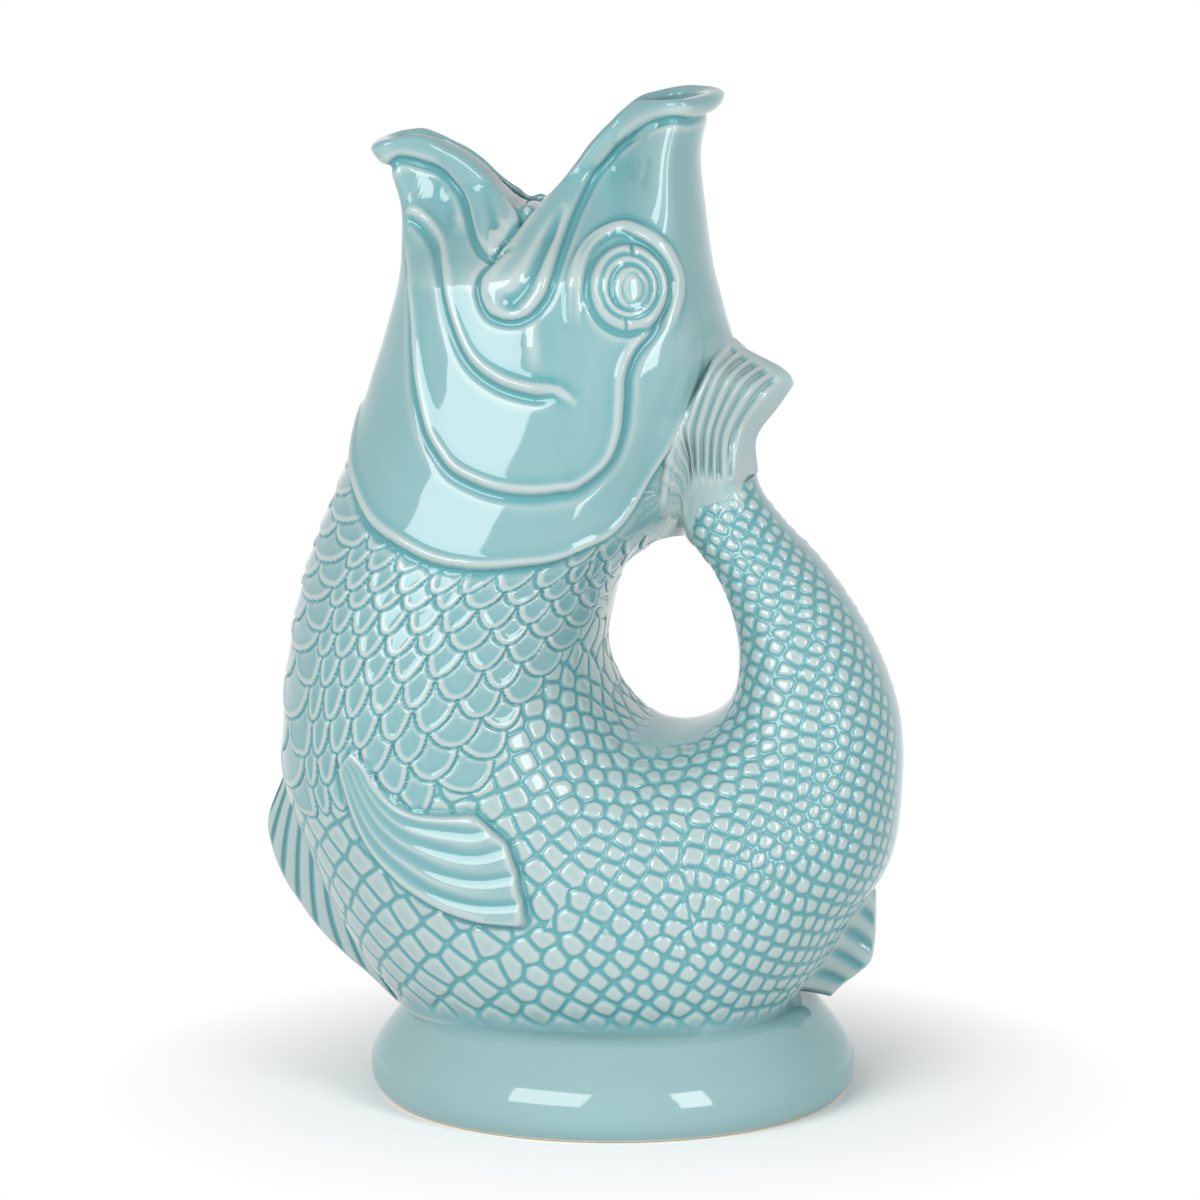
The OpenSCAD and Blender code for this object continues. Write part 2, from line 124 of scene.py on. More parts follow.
# Sunk into the foot's ledge, so that the two meet without a slit
SKIN_FLOOR = FOOT_H - 1.0
INNER_FLOOR = FOOT_H + 5
HEAD_END = 8.0
TAIL_END = 28.0
SECTION_PITCH = HEIGHT * 0.052

# Outer point X and Z, inner point X and Z, half width, as shares of length, height, half width
SECTION_SHARES = np.array([
    [-0.359, 0.944, 0.156, 0.998, 0.52], [-0.328, 0.892, 0.134, 0.944, 0.59],
    [-0.325, 0.848, 0.141, 0.884, 0.63], [-0.331, 0.808, 0.153, 0.828, 0.67],
    [-0.356, 0.748, 0.175, 0.760, 0.73], [-0.381, 0.680, 0.150, 0.696, 0.79],
    [-0.408, 0.632, 0.115, 0.636, 0.83], [-0.444, 0.576, 0.088, 0.584, 0.88],
    [-0.475, 0.520, 0.019, 0.532, 0.92], [-0.498, 0.448, -0.006, 0.484, 0.97],
    [-0.509, 0.372, -0.014, 0.448, 1.00], [-0.506, 0.312, -0.006, 0.424, 1.00],
    [-0.475, 0.256, 0.016, 0.398, 1.00], [-0.413, 0.168, 0.044, 0.380, 1.00],
    [-0.325, 0.096, 0.072, 0.372, 1.00], [-0.188, 0.048, 0.094, 0.370, 1.00],
    [0.000, 0.032, 0.113, 0.371, 0.98], [0.188, 0.048, 0.134, 0.375, 0.93],
    [0.317, 0.124, 0.156, 0.382, 0.84], [0.378, 0.183, 0.175, 0.392, 0.75],
    [0.434, 0.240, 0.188, 0.404, 0.66], [0.450, 0.312, 0.197, 0.422, 0.58],
    [0.447, 0.376, 0.199, 0.448, 0.51], [0.422, 0.432, 0.193, 0.476, 0.44],
    [0.378, 0.488, 0.179, 0.504, 0.38], [0.322, 0.538, 0.159, 0.529, 0.33],
    [0.269, 0.574, 0.134, 0.549, 0.286], [0.231, 0.606, 0.113, 0.566, 0.25],
    [0.219, 0.632, 0.108, 0.600, 0.22]])
SECTIONS = SECTION_SHARES * [LENGTH, HEIGHT, LENGTH, HEIGHT, WIDTH / 2]

# Pinched mouth: share of the half width by which its corners lean in, between which angles it
# grows and dies away, and the sections that it fades over
PINCH, PINCH_GROWS, PINCH_ENDS, PINCH_FADES = 0.78, (0, 55), (112, 150), (0.9, 2.9)


def mix(a, b, t):
    return a + (b - a) * t


def smooth(low, high, value):
    """0 below low, 1 above high, and an even slope between."""
    t = np.clip((value - low) / (high - low), 0, 1)
    return t * t * (3 - 2 * t)


def bump(value, width):
    return np.exp(-(value / width) ** 2)


def row_at(rows, place):
    """Smooth curve through the rows of a table; place counts rows."""
    place = np.asarray(place, float)
    i = np.clip(np.floor(place).astype(int), 0, len(rows) - 2)
    t = (place - i).reshape(place.shape + (1,) * (rows.ndim - 1))
    p, q, r, s = (rows[np.clip(i + k, 0, len(rows) - 1)] for k in (-1, 0, 1, 2))
    return 0.5 * (2 * q + (r - p) * t + (2 * p - 5 * q + 4 * r - s) * t * t
                  + (3 * q - p - 3 * r + s) * t ** 3)


def skin(u, angle, inset=0.0, level=SKIN_FLOOR):
    """Near half of the fish's surface. u counts sections from the mouth to the tail, and the
    angle turns from the outer line (0) by the near side to the inner line (180)."""
    s = row_at(SECTIONS, u)
    mid = (s[..., 0:2] + s[..., 2:4]) / 2
    arm = s[..., 0:2] - mid
    reach = np.linalg.norm(arm, axis=-1)
    half = arm * ((reach - inset) / reach)[..., None]
    drop = np.minimum(half[..., 1], -1e-6)
    cut = np.where(half[..., 1] < 0, np.clip((level - mid[..., 1]) / drop, 0, 1), 1.0)
    cut_angle = np.degrees(np.arccos(cut ** (FULLNESS / 2)))
    flat = np.maximum(cut_angle, FLAT_ANGLE)
    turn = np.where(angle < FLAT_ANGLE, angle / FLAT_ANGLE * flat,
                    flat + (angle - FLAT_ANGLE) / (180 - FLAT_ANGLE) * (180 - flat))
    cosine, sine = np.cos(np.radians(turn)), np.sin(np.radians(turn))
    along = np.where(turn < cut_angle, cut, np.sign(cosine) * np.abs(cosine) ** (2 / FULLNESS))
    edge = np.sin(np.radians(cut_angle)) ** (2 / FULLNESS)
    across = np.where(turn < cut_angle, edge * turn / np.maximum(cut_angle, 1e-6),
                      np.abs(sine) ** (2 / FULLNESS))
    lean = smooth(*PINCH_GROWS, angle) * (1 - smooth(*PINCH_ENDS, angle))
    y = -(s[..., 4] * (1 - PINCH * lean * (1 - smooth(*PINCH_FADES, u))) - inset) * across
    return np.stack([mid[..., 0] + half[..., 0] * along, y, mid[..., 1] + half[..., 1] * along], -1)


def unit(v):
    return v / np.maximum(np.linalg.norm(v, axis=-1, keepdims=True), 1e-9)


def skin_normal(u, angle):
    du = skin(u + 0.03, angle) - skin(u - 0.03, angle)
    low, high = np.maximum(angle - 1, 0.0), np.minimum(angle + 1, 180.0)
    da = skin(u, high) - skin(u, low)
    at_line = (low == 0.0) | (high == 180.0)
    da = np.where(at_line[..., None], [0.0, -1.0, 0.0], da)
    da = np.where((high == 180.0)[..., None], [0.0, 1.0, 0.0], da)
    return unit(np.cross(du, da))


# The camera of the photograph

CAMERA_YAW, CAMERA_FAR, CAMERA_HIGH = math.radians(8), 1800.0, 462.0
AIM = np.array([0.0, 0.0, 122.0])
FOCAL_PX, MIDDLE_PX = 7401.0, (613.0, 606.15)
PX_PER_MM = FOCAL_PX / CAMERA_FAR
MOST_PX_PER_MM = 4.2
CAMERA = np.array([math.sin(CAMERA_YAW) * CAMERA_FAR, -math.cos(CAMERA_YAW) * CAMERA_FAR,
                   CAMERA_HIGH])
FORWARD = unit(AIM - CAMERA)
RIGHT = unit(np.cross(FORWARD, [0, 0, 1]))
UP = np.cross(RIGHT, FORWARD)


def to_pixels(points):
    ray = points - CAMERA
    deep = ray @ FORWARD
    return np.stack([MIDDLE_PX[0] + FOCAL_PX * (ray @ RIGHT) / deep,
                     MIDDLE_PX[1] - FOCAL_PX * (ray @ UP) / deep], -1)


def at_depth(places):
    """Points at pixel x, pixel y and a depth y in millimetres."""
    px, py, y = np.array(places, float).T
    ray = (FORWARD + RIGHT * ((px - MIDDLE_PX[0]) / FOCAL_PX)[:, None]
           + UP * ((MIDDLE_PX[1] - py) / FOCAL_PX)[:, None])
    return CAMERA + ray * ((y - CAMERA[1]) / ray[:, 1])[:, None]


# Edge of the mouth, from the lower jaw by its corner to the upper jaw
RIM_PX = np.array([(384, 128), (396, 136), (412, 136), (430, 140), (446, 146), (458, 152),
                   (470, 160), (481, 169.6), (490, 179), (499, 188), (508, 196), (517, 201),
                   (528, 204), (538, 202), (547, 197), (556, 189), (566, 178), (575, 166),
                   (585, 151), (597, 137), (609, 125), (621, 115), (632, 107), (644, 100),
                   (656, 94.5), (668, 91), (680, 89), (692, 86), (704, 80)])
# The rounded edge stands over the cut by this much
RIM_STANDS_PX = 7
MOUTH_ANGLES = np.arange(-20, 200.1, 0.5)
CUT_STEP, CUT_BLUR = 0.02, 2.6


def cut_mouth():
    """How many sections down the skin is cut, by angle, so that its edge lies on the line."""
    folded = np.where(MOUTH_ANGLES < 0, -MOUTH_ANGLES,
                      np.where(MOUTH_ANGLES > 180, 360 - MOUTH_ANGLES, MOUTH_ANGLES))
    u, a = np.meshgrid(np.arange(0, 3.4, CUT_STEP), folded, indexing="ij")
    px = to_pixels(skin(u, a))
    above = px[..., 1] < np.interp(px[..., 0], *RIM_PX.T) + RIM_STANDS_PX
    cut = above.sum(axis=0) * CUT_STEP
    kernel = bump(np.arange(-12, 12.1, 0.5), CUT_BLUR)
    return np.convolve(cut, kernel / kernel.sum(), mode="same")


MOUTH_CUT = cut_mouth()


def mouth_at(angle):
    """Cut edge of the mouth, in sections down from the top, by angle round the head."""
    return np.interp(angle, MOUTH_ANGLES, MOUTH_CUT)


class Finder:
    """Finds which place of the near skin shows at a pixel."""

    # Steps of section and of angle for slopes, the longest moves, and the smallest area in square
    # pixels of a section times a degree, which stops leaps where the skin is seen edge on
    du, da, most_u, most_a, least = 0.01, 0.1, 0.03, 0.6, 8

    def __init__(self):
        u, a = np.meshgrid(np.arange(0, TAIL_END + 0.01, 0.04), np.arange(0, 180.1, 1.0),
                           indexing="ij")
        points = skin(u, a)
        facing = np.einsum("ijk,ijk->ij", skin_normal(u, a), CAMERA - points) > 0
        shown = facing & (u >= mouth_at(a) - 0.1)
        self.u, self.a = u[shown], a[shown]
        self.px = to_pixels(points[shown])

    def __call__(self, pixels):
        """Section, angle and point of the skin at each pixel."""
        found = []
        for px in np.asarray(pixels, float):
            apart = np.hypot(*(self.px - px).T)
            near = np.argsort(apart)[:4]
            weight = 1 / (apart[near] + 0.05) ** 2
            found.append([np.average(self.u[near], weights=weight),
                          np.average(self.a[near], weights=weight)])
        u, a = np.array(found).T
        aim = np.asarray(pixels, float)
        for _ in range(6):
            # walk over the skin until it projects exactly on the pixel
            here = to_pixels(skin(u, a))
            du = (to_pixels(skin(u + self.du, a)) - here) / self.du
            da = (to_pixels(skin(u, a + self.da)) - here) / self.da
            miss = aim - here
            area = du[:, 0] * da[:, 1] - du[:, 1] * da[:, 0]
            area = np.where(np.abs(area) < self.least, self.least * np.sign(area + 1e-9), area)
            by_u = (miss[:, 0] * da[:, 1] - miss[:, 1] * da[:, 0]) / area
            by_a = (du[:, 0] * miss[:, 1] - du[:, 1] * miss[:, 0]) / area
            u = u + np.clip(by_u, -self.most_u, self.most_u)
            a = a + np.clip(by_a, -self.most_a, self.most_a)
            u, a = np.clip(u, 0, TAIL_END), np.clip(a, 0, 180)
        return u, a, skin(u, a)


find = Finder()


BATCH = 8000


def near_line(points, line):
    """Distance from each of many points to a line of points, how far along the line the nearest
    place is, and the way from it to the point."""
    best = np.full(len(points), np.inf)
    at = np.zeros(len(points))
    way = np.zeros(points.shape)
    for i in range(0, len(points), BATCH):
        part = points[i:i + BATCH]
        apart = np.sum(line ** 2, 1)[None] - 2 * part @ line.T
        close = np.argmin(apart, axis=1)
        for k in (close - 1, close):
            k = np.clip(k, 0, len(line) - 2)
            start, run = line[k], line[k + 1] - line[k]
            t = np.clip(np.sum((part - start) * run, 1) / np.sum(run ** 2, 1), 0, 1)
            gap = part - start - t[:, None] * run
            d = np.linalg.norm(gap, axis=1)
            closer = d < best[i:i + BATCH]
            best[i:i + BATCH][closer] = d[closer]
            at[i:i + BATCH][closer] = (k + t)[closer] / (len(line) - 1)
            way[i:i + BATCH][closer] = gap[closer]
    return best, at, way


def rows_near(flat, places, room):
    """Which of many points lie in the box round some places, with some room round it."""
    return np.where((flat > places.min(0) - room).all(1) & (flat < places.max(0) + room).all(1))[0]


def reach_to(points, line, limit=25.0):
    """Distance from each point to a line of points, up to a limit."""
    flat = points.reshape(-1, 3)
    best = np.full(len(flat), limit)
    rows = rows_near(flat, line, limit)
    best[rows] = np.minimum(near_line(flat[rows], line)[0], limit)
    return best.reshape(points.shape[:-1])


def inside(pixels, outline):
    """Which pixels lie in a closed outline."""
    x, y = pixels[..., 0], pixels[..., 1]
    odd = np.zeros(x.shape, bool)
    ends = np.roll(outline, -1, axis=0)
    for (x0, y0), (x1, y1) in zip(outline, ends):
        if y0 != y1:
            crosses = (y0 > y) != (y1 > y)
            odd ^= crosses & (x < (x1 - x0) * (y - y0) / (y1 - y0) + x0)
    return odd


# Edge of the gill cover: angle and section
GILL_EDGE = [[0, 5.0], [8, 5.15], [25, 5.9], [41, 6.4], [55, 6.8], [70, 7.1], [83, 7.35], [95, 7.48],
             [108, 7.45], [119, 7.39], [128, 7.2], [137, 6.94], [144, 6.27], [150, 5.2], [154, 4.3],
             [160, 3.0]]
FIN_LOW_PX = [(338, 770), (346, 798), (355, 823), (367, 846), (380, 863), (394, 877), (408, 889),
              (441, 909), (474, 921), (500, 925), (525, 925)]
FIN_TOP_PX = [(352, 752), (366, 766), (376, 784), (390, 799), (404, 808), (422, 813), (448, 814),
              (474, 814)]
FIN_END_PX = [(474, 814), (489, 826), (507, 842), (517, 867), (521, 886), (525, 905), (525, 925)]
# Lines drawn over the photograph, each with the far corners that close it into an area
LINES_PX = {
    "plate": ([(404, 232), (408, 262), (411, 290), (413, 320), (414, 350), (417, 385), (426, 428),
               (438, 452), (454, 472), (484, 487), (509, 493), (534, 494.6), (557, 492), (578, 487),
               (606, 463), (619, 433), (623, 402), (625, 375), (634, 352), (650, 331), (660, 312),
               (665, 292)], [(700, 60), (350, 60)]),
    "cheek": ([(404, 213), (413, 216), (426, 227), (438, 245), (443, 270), (447, 298), (454, 325),
               (464, 350), (477, 368), (498, 383), (520, 391), (540, 394), (556, 388)],
              [(600, 340), (560, 150), (405, 120)]),
    "cheek tail": ([(541, 391.5), (553, 389), (563, 394), (573, 402)], []),
    "fold": ([(436, 186), (449, 194), (457, 207), (461, 222), (460, 240)], []),
    "lower lip": ([(372, 152), (381, 152), (389, 155), (404, 157), (418, 160), (440, 168), (457, 184),
                   (466.6, 201), (471.5, 220), (476, 238), (482, 250), (490, 256), (499, 252),
                   (505, 246), (511, 241), (518, 234), (521, 226), (519, 216), (513, 206), (506, 196),
                   (498, 184)], [(450, 60), (330, 60), (330, 140)]),
    "upper lip": ([(724, 112), (708, 112), (692, 113.6), (671, 117), (650.8, 123.3), (621.8, 142.7),
                   (606, 159), (592.7, 176.6), (578, 205.7), (566, 234.8), (556.3, 263.9),
                   (551, 281), (545, 297), (530, 315), (510.3, 321), (491, 315), (482.4, 300),
                   (481, 283.3), (488.5, 271), (505, 256), (494, 262), (503, 251), (513, 239),
                   (522, 227), (530, 218), (538, 209), (547, 198), (560, 180)],
                  [(600, 20), (760, 20), (760, 104)]),
    "lip dip": ([(478, 180), (486, 196), (492, 214), (496, 232)], []),
    "spoon": ([(514, 302), (522, 294), (531, 281), (544, 254), (555, 232), (566, 210)], []),
    "brow": ([(569, 335), (566, 318), (566, 292), (570, 267), (581, 245), (599, 229), (621, 221),
              (640, 224), (661, 237), (675, 258), (682, 284), (677, 318), (668, 339)],
             [(640, 360), (600, 360)]),
    "fin low": (FIN_LOW_PX, []),
    "fin top": (FIN_TOP_PX, []),
    "fin": (FIN_LOW_PX + FIN_END_PX[-2::-1] + FIN_TOP_PX[-2::-1], []),
}
# Relief of the head in millimetres. Plates: rolled rim, fade of the swelling behind it, groove
PLATES = {"gill": (0.5, 11.0, 0.5), "plate": (0.5, 8.0, 0.55), "cheek": (0.6, 6.5, 0.7)}
RIM_PLACE, RIM_WIDTH, GROOVE_WIDTH = 1.5, 1.4, 1.3
# Shares of a line over which a ridge rises at its start and dies away at its end
STARTS, STARTS_SLOWLY, ENDS, ENDS_SLOWLY = (0, 0.1), (0, 0.3), (0.9, 1), (0.7, 1)
# Angles over which the gill covers die away on the back of the head
BACK_FADES = (140, 156)
CHEEK_STEP, CHEEK_BEHIND, CHEEK_DIES_PX = 1.1, (1.5, 5.0), (480, 540)
CHEEK_TAIL, CHEEK_TAIL_WIDTH = 0.6, 1.2
DROP_PX, DROP_SIZE_PX, DROP_HEIGHT, DROP_WIDTH = (533, 344), (13, 30), 1.1, 0.9
FOLD_HEIGHT, FOLD_WIDTH = 1.0, 2.4
SADDLE_PX, SADDLE_FLAT, SADDLE_HEIGHT, SADDLE_SIZE_PX = (528, 211), 0.8, 0.9, 7.0
# Lips: width of the bead, and its edge below the cut where no line is drawn
LOWER_BEAD, LOWER_EDGE, UPPER_BEAD, UPPER_EDGE = 5.5, 5.2, 3.6, 4.6
DIP_DEPTH, DIP_WIDTH, SPOON_DEPTH, SPOON_WIDTHS = 0.8, 1.4, 2.0, (2.6, 0.9)
LIP_GROOVE, LIP_GROOVE_AWAY, LIP_GROOVE_WIDTH = 0.7, 0.9, 1.0
# Angles between which the drawn lines of the lips take over from the cut, the angles where each
# lip ends, and a distance that is outside everything
LOWER_DRAWN, UPPER_DRAWN, LOWER_ENDS, UPPER_STARTS, NOWHERE = (14, 34), (140, 160), 120, 30, -20
# Eye: rings by distance from its middle and width, as shares of its size, and height
EYE_PX, EYE_SIZE_PX, EYE_REACH = (628, 288), (38, 43), 22
EYE_RINGS = ((0.87, 0.115, 1.2), (0.62, 0.075, 0.9), (1.09, 0.07, -0.6))
EYE_MOUND, SLIT_DEPTH, SLIT_WIDTH_PX, SLIT_PLACES_PX = 0.7, 0.9, 2.2, (4, -3)
BALL_AWAY_PX, BALL_SIZE_PX, BALL_HEIGHT = (2.5, 1.5), (18, 22), 1.6
PUPIL_SIZE_PX, PUPIL_CUT, PUPIL_LINE = (10, 15), 0.22, 0.2
BROW_HEIGHT, BROW_RISES, BROW_FALLS, BROW_ENDS = 1.3, (-1.0, 1.4), (2.8, 4.4), (0.8, 1)
# Side fin
FIN_RAYS, FIN_RAY_WIDTH, ROOT_STAND, ROOT_RAY = 5, 1.15, 0.3, 0.5
FIN_GROOVE, FIN_GROOVE_AWAY = 0.35, 0.9
# Sections between which each kind of relief is found
SCALES_BEHIND_GILL, SCALES_ON_BACK = (-0.2, 0.6), (7.0, 7.5)
SCALES_FROM, FIN_FROM, FIN_TO, HEAD_TO, SWELL_TO, SWELL_FROM = 6.4, 10, 16, 8.6, 11, 22
# A flare over the foot: how high it reaches and how far it stands out
FLARE_HEIGHT, FLARE, FLARE_FROM = 5, 2.0, 11


def step_up(gap, step, rim, fade, groove):
    """Height of a plate whose free edge is at gap 0, with the plate where gap is positive: a
    rolled rim that falls away to the ground inside it, and a groove outside the edge."""
    body = smooth(-1.0, RIM_PLACE, gap) * step * np.exp(-np.maximum(gap, 0) / fade)
    body *= 1 - smooth(fade, 2 * fade, gap)
    return (body + rim * bump(gap - RIM_PLACE, RIM_WIDTH)
            - groove * bump(gap + RIM_WIDTH, GROOVE_WIDTH))


# Tail fin: places on its rays, from the outer line round to the head, at pixel x, pixel y, depth
FAN_ROOT = [0, 48, 72, 84, 96, 106, 114, 121, 128, 136, 144, 154, 180]
FAN_LOW = [(758, 470, 0), (736, 470, -12.3), (724, 470, -12.5), (715, 468, -13.5), (707, 464, -15),
           (698, 461, -16.5), (691, 460, -17.5), (688, 464, -17.5), (687, 472, -17),
           (683, 482, -17), (680, 494, -16), (680, 512, -12), (671, 534, 0)]
FAN_MID = [(757, 437, 0), (745, 428, -8.5), (730, 430, -13), (720, 426, -16), (711, 426, -18.5),
           (700, 425, -21), (689, 425, -23), (681, 432, -23.5), (678, 450, -22.5),
           (673, 466, -22), (669, 483, -20.5), (664, 510, -16), (654, 534, 0)]
FAN_HIGH = [(779, 406, 0), (769, 395, -6), (755, 388, -10), (744, 381, -13), (733, 376, -16),
            (720, 373, -19), (711, 372, -21)]
FAN_MARGIN = [(696, 390), (676, 424), (668, 450), (664, 470), (660, 496)]
FAN_RIDGE = [(794, 384, 0), (790, 375, 0), (781, 367, 0), (770, 361, 0), (758, 355, 0),
             (744, 350, 0), (731, 344, 0), (712, 350, 0), (700, 370, 0), (690, 400, 0),
             (680, 430, 0), (665, 475, 0), (640, 530, 0)]


# Rows of the root: section, and how far they lie over the skin. Where the tail's end is seen from
# outside, the root lies further on
FAN_ROOT_ROWS, FAN_LATE, FAN_LATE_ENDS = ((25.5, -1.4), (26.1, -0.4), (26.75, 0.15)), 0.85, (105, 150)
MARGIN_LIFT, FAN_START, RIDGE_CROWDING = 0.4, 0.3, 1.3


def fan_sheet(rows, cols):
    """Near half of the tail fin: it grows out of the tail, spreads against the back of the head
    and closes over in a ridge."""
    roots = np.array(FAN_ROOT, float)
    late = FAN_LATE * (1 - smooth(*FAN_LATE_ENDS, roots))
    root = [skin(u + late, roots) + skin_normal(u + late, roots) * lift for u, lift in FAN_ROOT_ROWS]
    u, a, margin = find(FAN_MARGIN)
    margin = margin + skin_normal(u, a) * MARGIN_LIFT
    high = np.concatenate([at_depth(FAN_HIGH), margin, at_depth([(640, 536, 0)])])
    table = np.stack(root + [at_depth(FAN_LOW), at_depth(FAN_MID), high, at_depth(FAN_RIDGE)])
    t = np.linspace(0, len(roots) - 1, cols)
    across = np.stack([row_at(row, t) for row in table])
    # points closer together near the ridge, where the leaf turns over
    place = 1 - (1 - np.linspace(0, 1, rows)) ** RIDGE_CROWDING
    sheet = row_at(across, mix(FAN_START, len(table) - 1, place))
    sheet[..., 1] = np.minimum(sheet[..., 1], 0)
    sheet[:, [0, -1], 1] = 0
    return sheet


class Drawn:
    """A line drawn over the photograph, and the area on its inner side."""

    def __init__(self, pixels, closing=()):
        rows = np.asarray(pixels, float)
        self.line = row_at(rows, np.linspace(0, len(rows) - 1, len(rows) * 6))
        self.area = np.vstack([self.line, np.array(closing, float).reshape(-1, 2)])

    def across(self, px, power=5):
        """Distance across the picture in millimetres, without a crease where the line bends."""
        flat = px.reshape(-1, 2)
        total = sum((np.sum((flat - place) ** 2, 1) + 0.5) ** -power for place in self.line)
        return (total ** (-0.5 / power)).reshape(px.shape[:-1]) / PX_PER_MM

    def gap(self, px, tilt, limit=25.0):
        """Distance over the skin in millimetres, positive inside, and how far along it is."""
        flat = px.reshape(-1, 2)
        rows = rows_near(flat, self.line, MOST_PX_PER_MM * limit)
        out, at = np.full(len(flat), limit), np.zeros(len(flat))
        apart, at[rows], way = near_line(flat[rows], self.line)
        pull = np.einsum("nij,ni->nj", tilt.reshape(-1, 2, 2)[rows], unit(way))
        out[rows] = np.minimum(apart / np.maximum(np.linalg.norm(pull, axis=1), 1.0), limit)
        out, at = out.reshape(px.shape[:-1]), at.reshape(px.shape[:-1])
        return np.where(inside(px, self.area), out, -out), at


class Relief:
    """Everything that stands out of the smooth fish, as one height over its surface."""

    def __init__(self):
        s = settings()
        self.gill, self.plate, self.lip, self.side_fin, self.ray = (v / MM for v in (
            s.head.gill_step, s.head.cheek_step, s.head.lip_step, s.fins.side_fin,
            s.fins.ray_depth))
        table = np.array(GILL_EDGE, float)
        self.gill_edge = row_at(table, np.linspace(0, len(table) - 1, 200))
        self.gill_line = skin(self.gill_edge[:, 1], self.gill_edge[:, 0])
        self.lines = {name: Drawn(*drawn) for name, drawn in LINES_PX.items()}
        self.eye = find([EYE_PX])[2][0]
        self.scales = Scales()
        self.unions()

    def unions(self):
        """Places and slopes of the head and of the tail with its fin, which swell where they
        come near each other, as clay does that is smoothed over a joint."""
        u, a = np.meshgrid(np.arange(2.5, 10, 0.1), np.arange(84, 180.1, 2), indexing="ij")
        self.head_near = skin(u, a).reshape(-1, 3), skin_normal(u, a).reshape(-1, 3)
        u, a = np.meshgrid(np.arange(23, 27, 0.1), np.arange(60, 180.1, 4), indexing="ij")
        # without the rows that lie under the tail's skin
        sheet = fan_sheet(70, 90)
        both = (skin(u, a), sheet[12:]), (skin_normal(u, a), grid_normals(sheet)[12:])
        self.tail_near = [np.concatenate([v.reshape(-1, 3) for v in pair]) for pair in both]

    def swell(self, points, others, reach=9.0, sideways=0.7):
        """How far points rise towards a joint with another surface."""
        places, slopes = others
        flat = points.reshape(-1, 3)
        rise = np.zeros(len(flat))
        rows = rows_near(flat, places, reach)
        for i in range(0, len(rows), BATCH):
            part = flat[rows[i:i + BATCH]]
            close = np.argmin(np.sum(places ** 2, 1)[None] - 2 * part @ places.T, axis=1)
            gap = part - places[close]
            out = np.sum(gap * slopes[close], 1)
            aside = np.sqrt(np.maximum(np.sum(gap ** 2, 1) - out ** 2, 0))
            out = np.hypot(np.maximum(out, 0), aside * sideways)
            rise[rows[i:i + BATCH]] = np.clip(reach - out, 0, reach) ** 2 / (4 * reach)
        return rise.reshape(points.shape[:-1])

    def fin(self, px, tilt):
        """Side fin: a raised leaf of broad curved rays, low at its root and proud at its end."""
        root, tip = np.array([FIN_LOW_PX[0], FIN_END_PX[-1]])
        run = np.clip((px - root) @ (tip - root) / np.sum((tip - root) ** 2), 0, 1)
        low, top = (self.lines[name].across(px) for name in ("fin low", "fin top"))
        gap = self.lines["fin"].gap(px, tilt)[0]
        out = smooth(0.05, 0.9, run)
        stand = mix(ROOT_STAND, 1.0, out) * self.side_fin * smooth(-0.6, 1.3, gap)
        # narrow grooves between the rays
        place = low / np.maximum(low + top, 1e-6) * FIN_RAYS
        beside = np.abs(place - np.round(place)) * (low + top) / FIN_RAYS
        groove = bump(beside, FIN_RAY_WIDTH) * smooth(0.3, 1.8, gap)
        stand -= self.ray * mix(ROOT_RAY, 1.0, out) * groove
        return stand - FIN_GROOVE * bump(gap + FIN_GROOVE_AWAY, FIN_GROOVE_AWAY), gap > 0

    def ridge(self, name, px, tilt, starts, ends):
        """Distance from a drawn line, and how far the ridge along it has risen there."""
        gap, at = self.lines[name].gap(px, tilt)
        return gap, smooth(*starts, at) * (1 - smooth(*ends, at))

    def head(self, u, a, p, px, tilt):
        """Gill covers, cheek and eye."""
        out = reach_to(p, self.gill_line)
        gap = np.where(u < self.gill_u(a), out, -out)
        h = (1 - smooth(*BACK_FADES, a)) * step_up(gap, self.gill, *PLATES["gill"])
        gap, live = self.ridge("plate", px, tilt, STARTS, ENDS)
        h += step_up(gap, self.plate, *PLATES["plate"]) * live
        gap, live = self.ridge("cheek", px, tilt, STARTS, ENDS)
        # the swelling behind the edge dies away before its end does
        live *= 1 - smooth(*CHEEK_BEHIND, gap) * smooth(*CHEEK_DIES_PX, px[..., 0])
        h += step_up(gap, CHEEK_STEP, *PLATES["cheek"]) * live
        gap, at = self.lines["cheek tail"].gap(px, tilt)
        live = smooth(*STARTS_SLOWLY, at) * (1 - 0.7 * smooth(0.6, 1, at))
        h += CHEEK_TAIL * bump(gap, CHEEK_TAIL_WIDTH) * live
        # drop-shaped swelling below the corner of the mouth, and the swollen fold beside the lips
        h += DROP_HEIGHT * bump(np.linalg.norm((px - DROP_PX) / DROP_SIZE_PX, axis=-1), DROP_WIDTH)
        gap, live = self.ridge("fold", px, tilt, STARTS_SLOWLY, ENDS_SLOWLY)
        return h + FOLD_HEIGHT * bump(gap, FOLD_WIDTH) * live + self.eyes(p, px, tilt)

    def gill_u(self, a):
        return np.interp(a, *self.gill_edge.T)

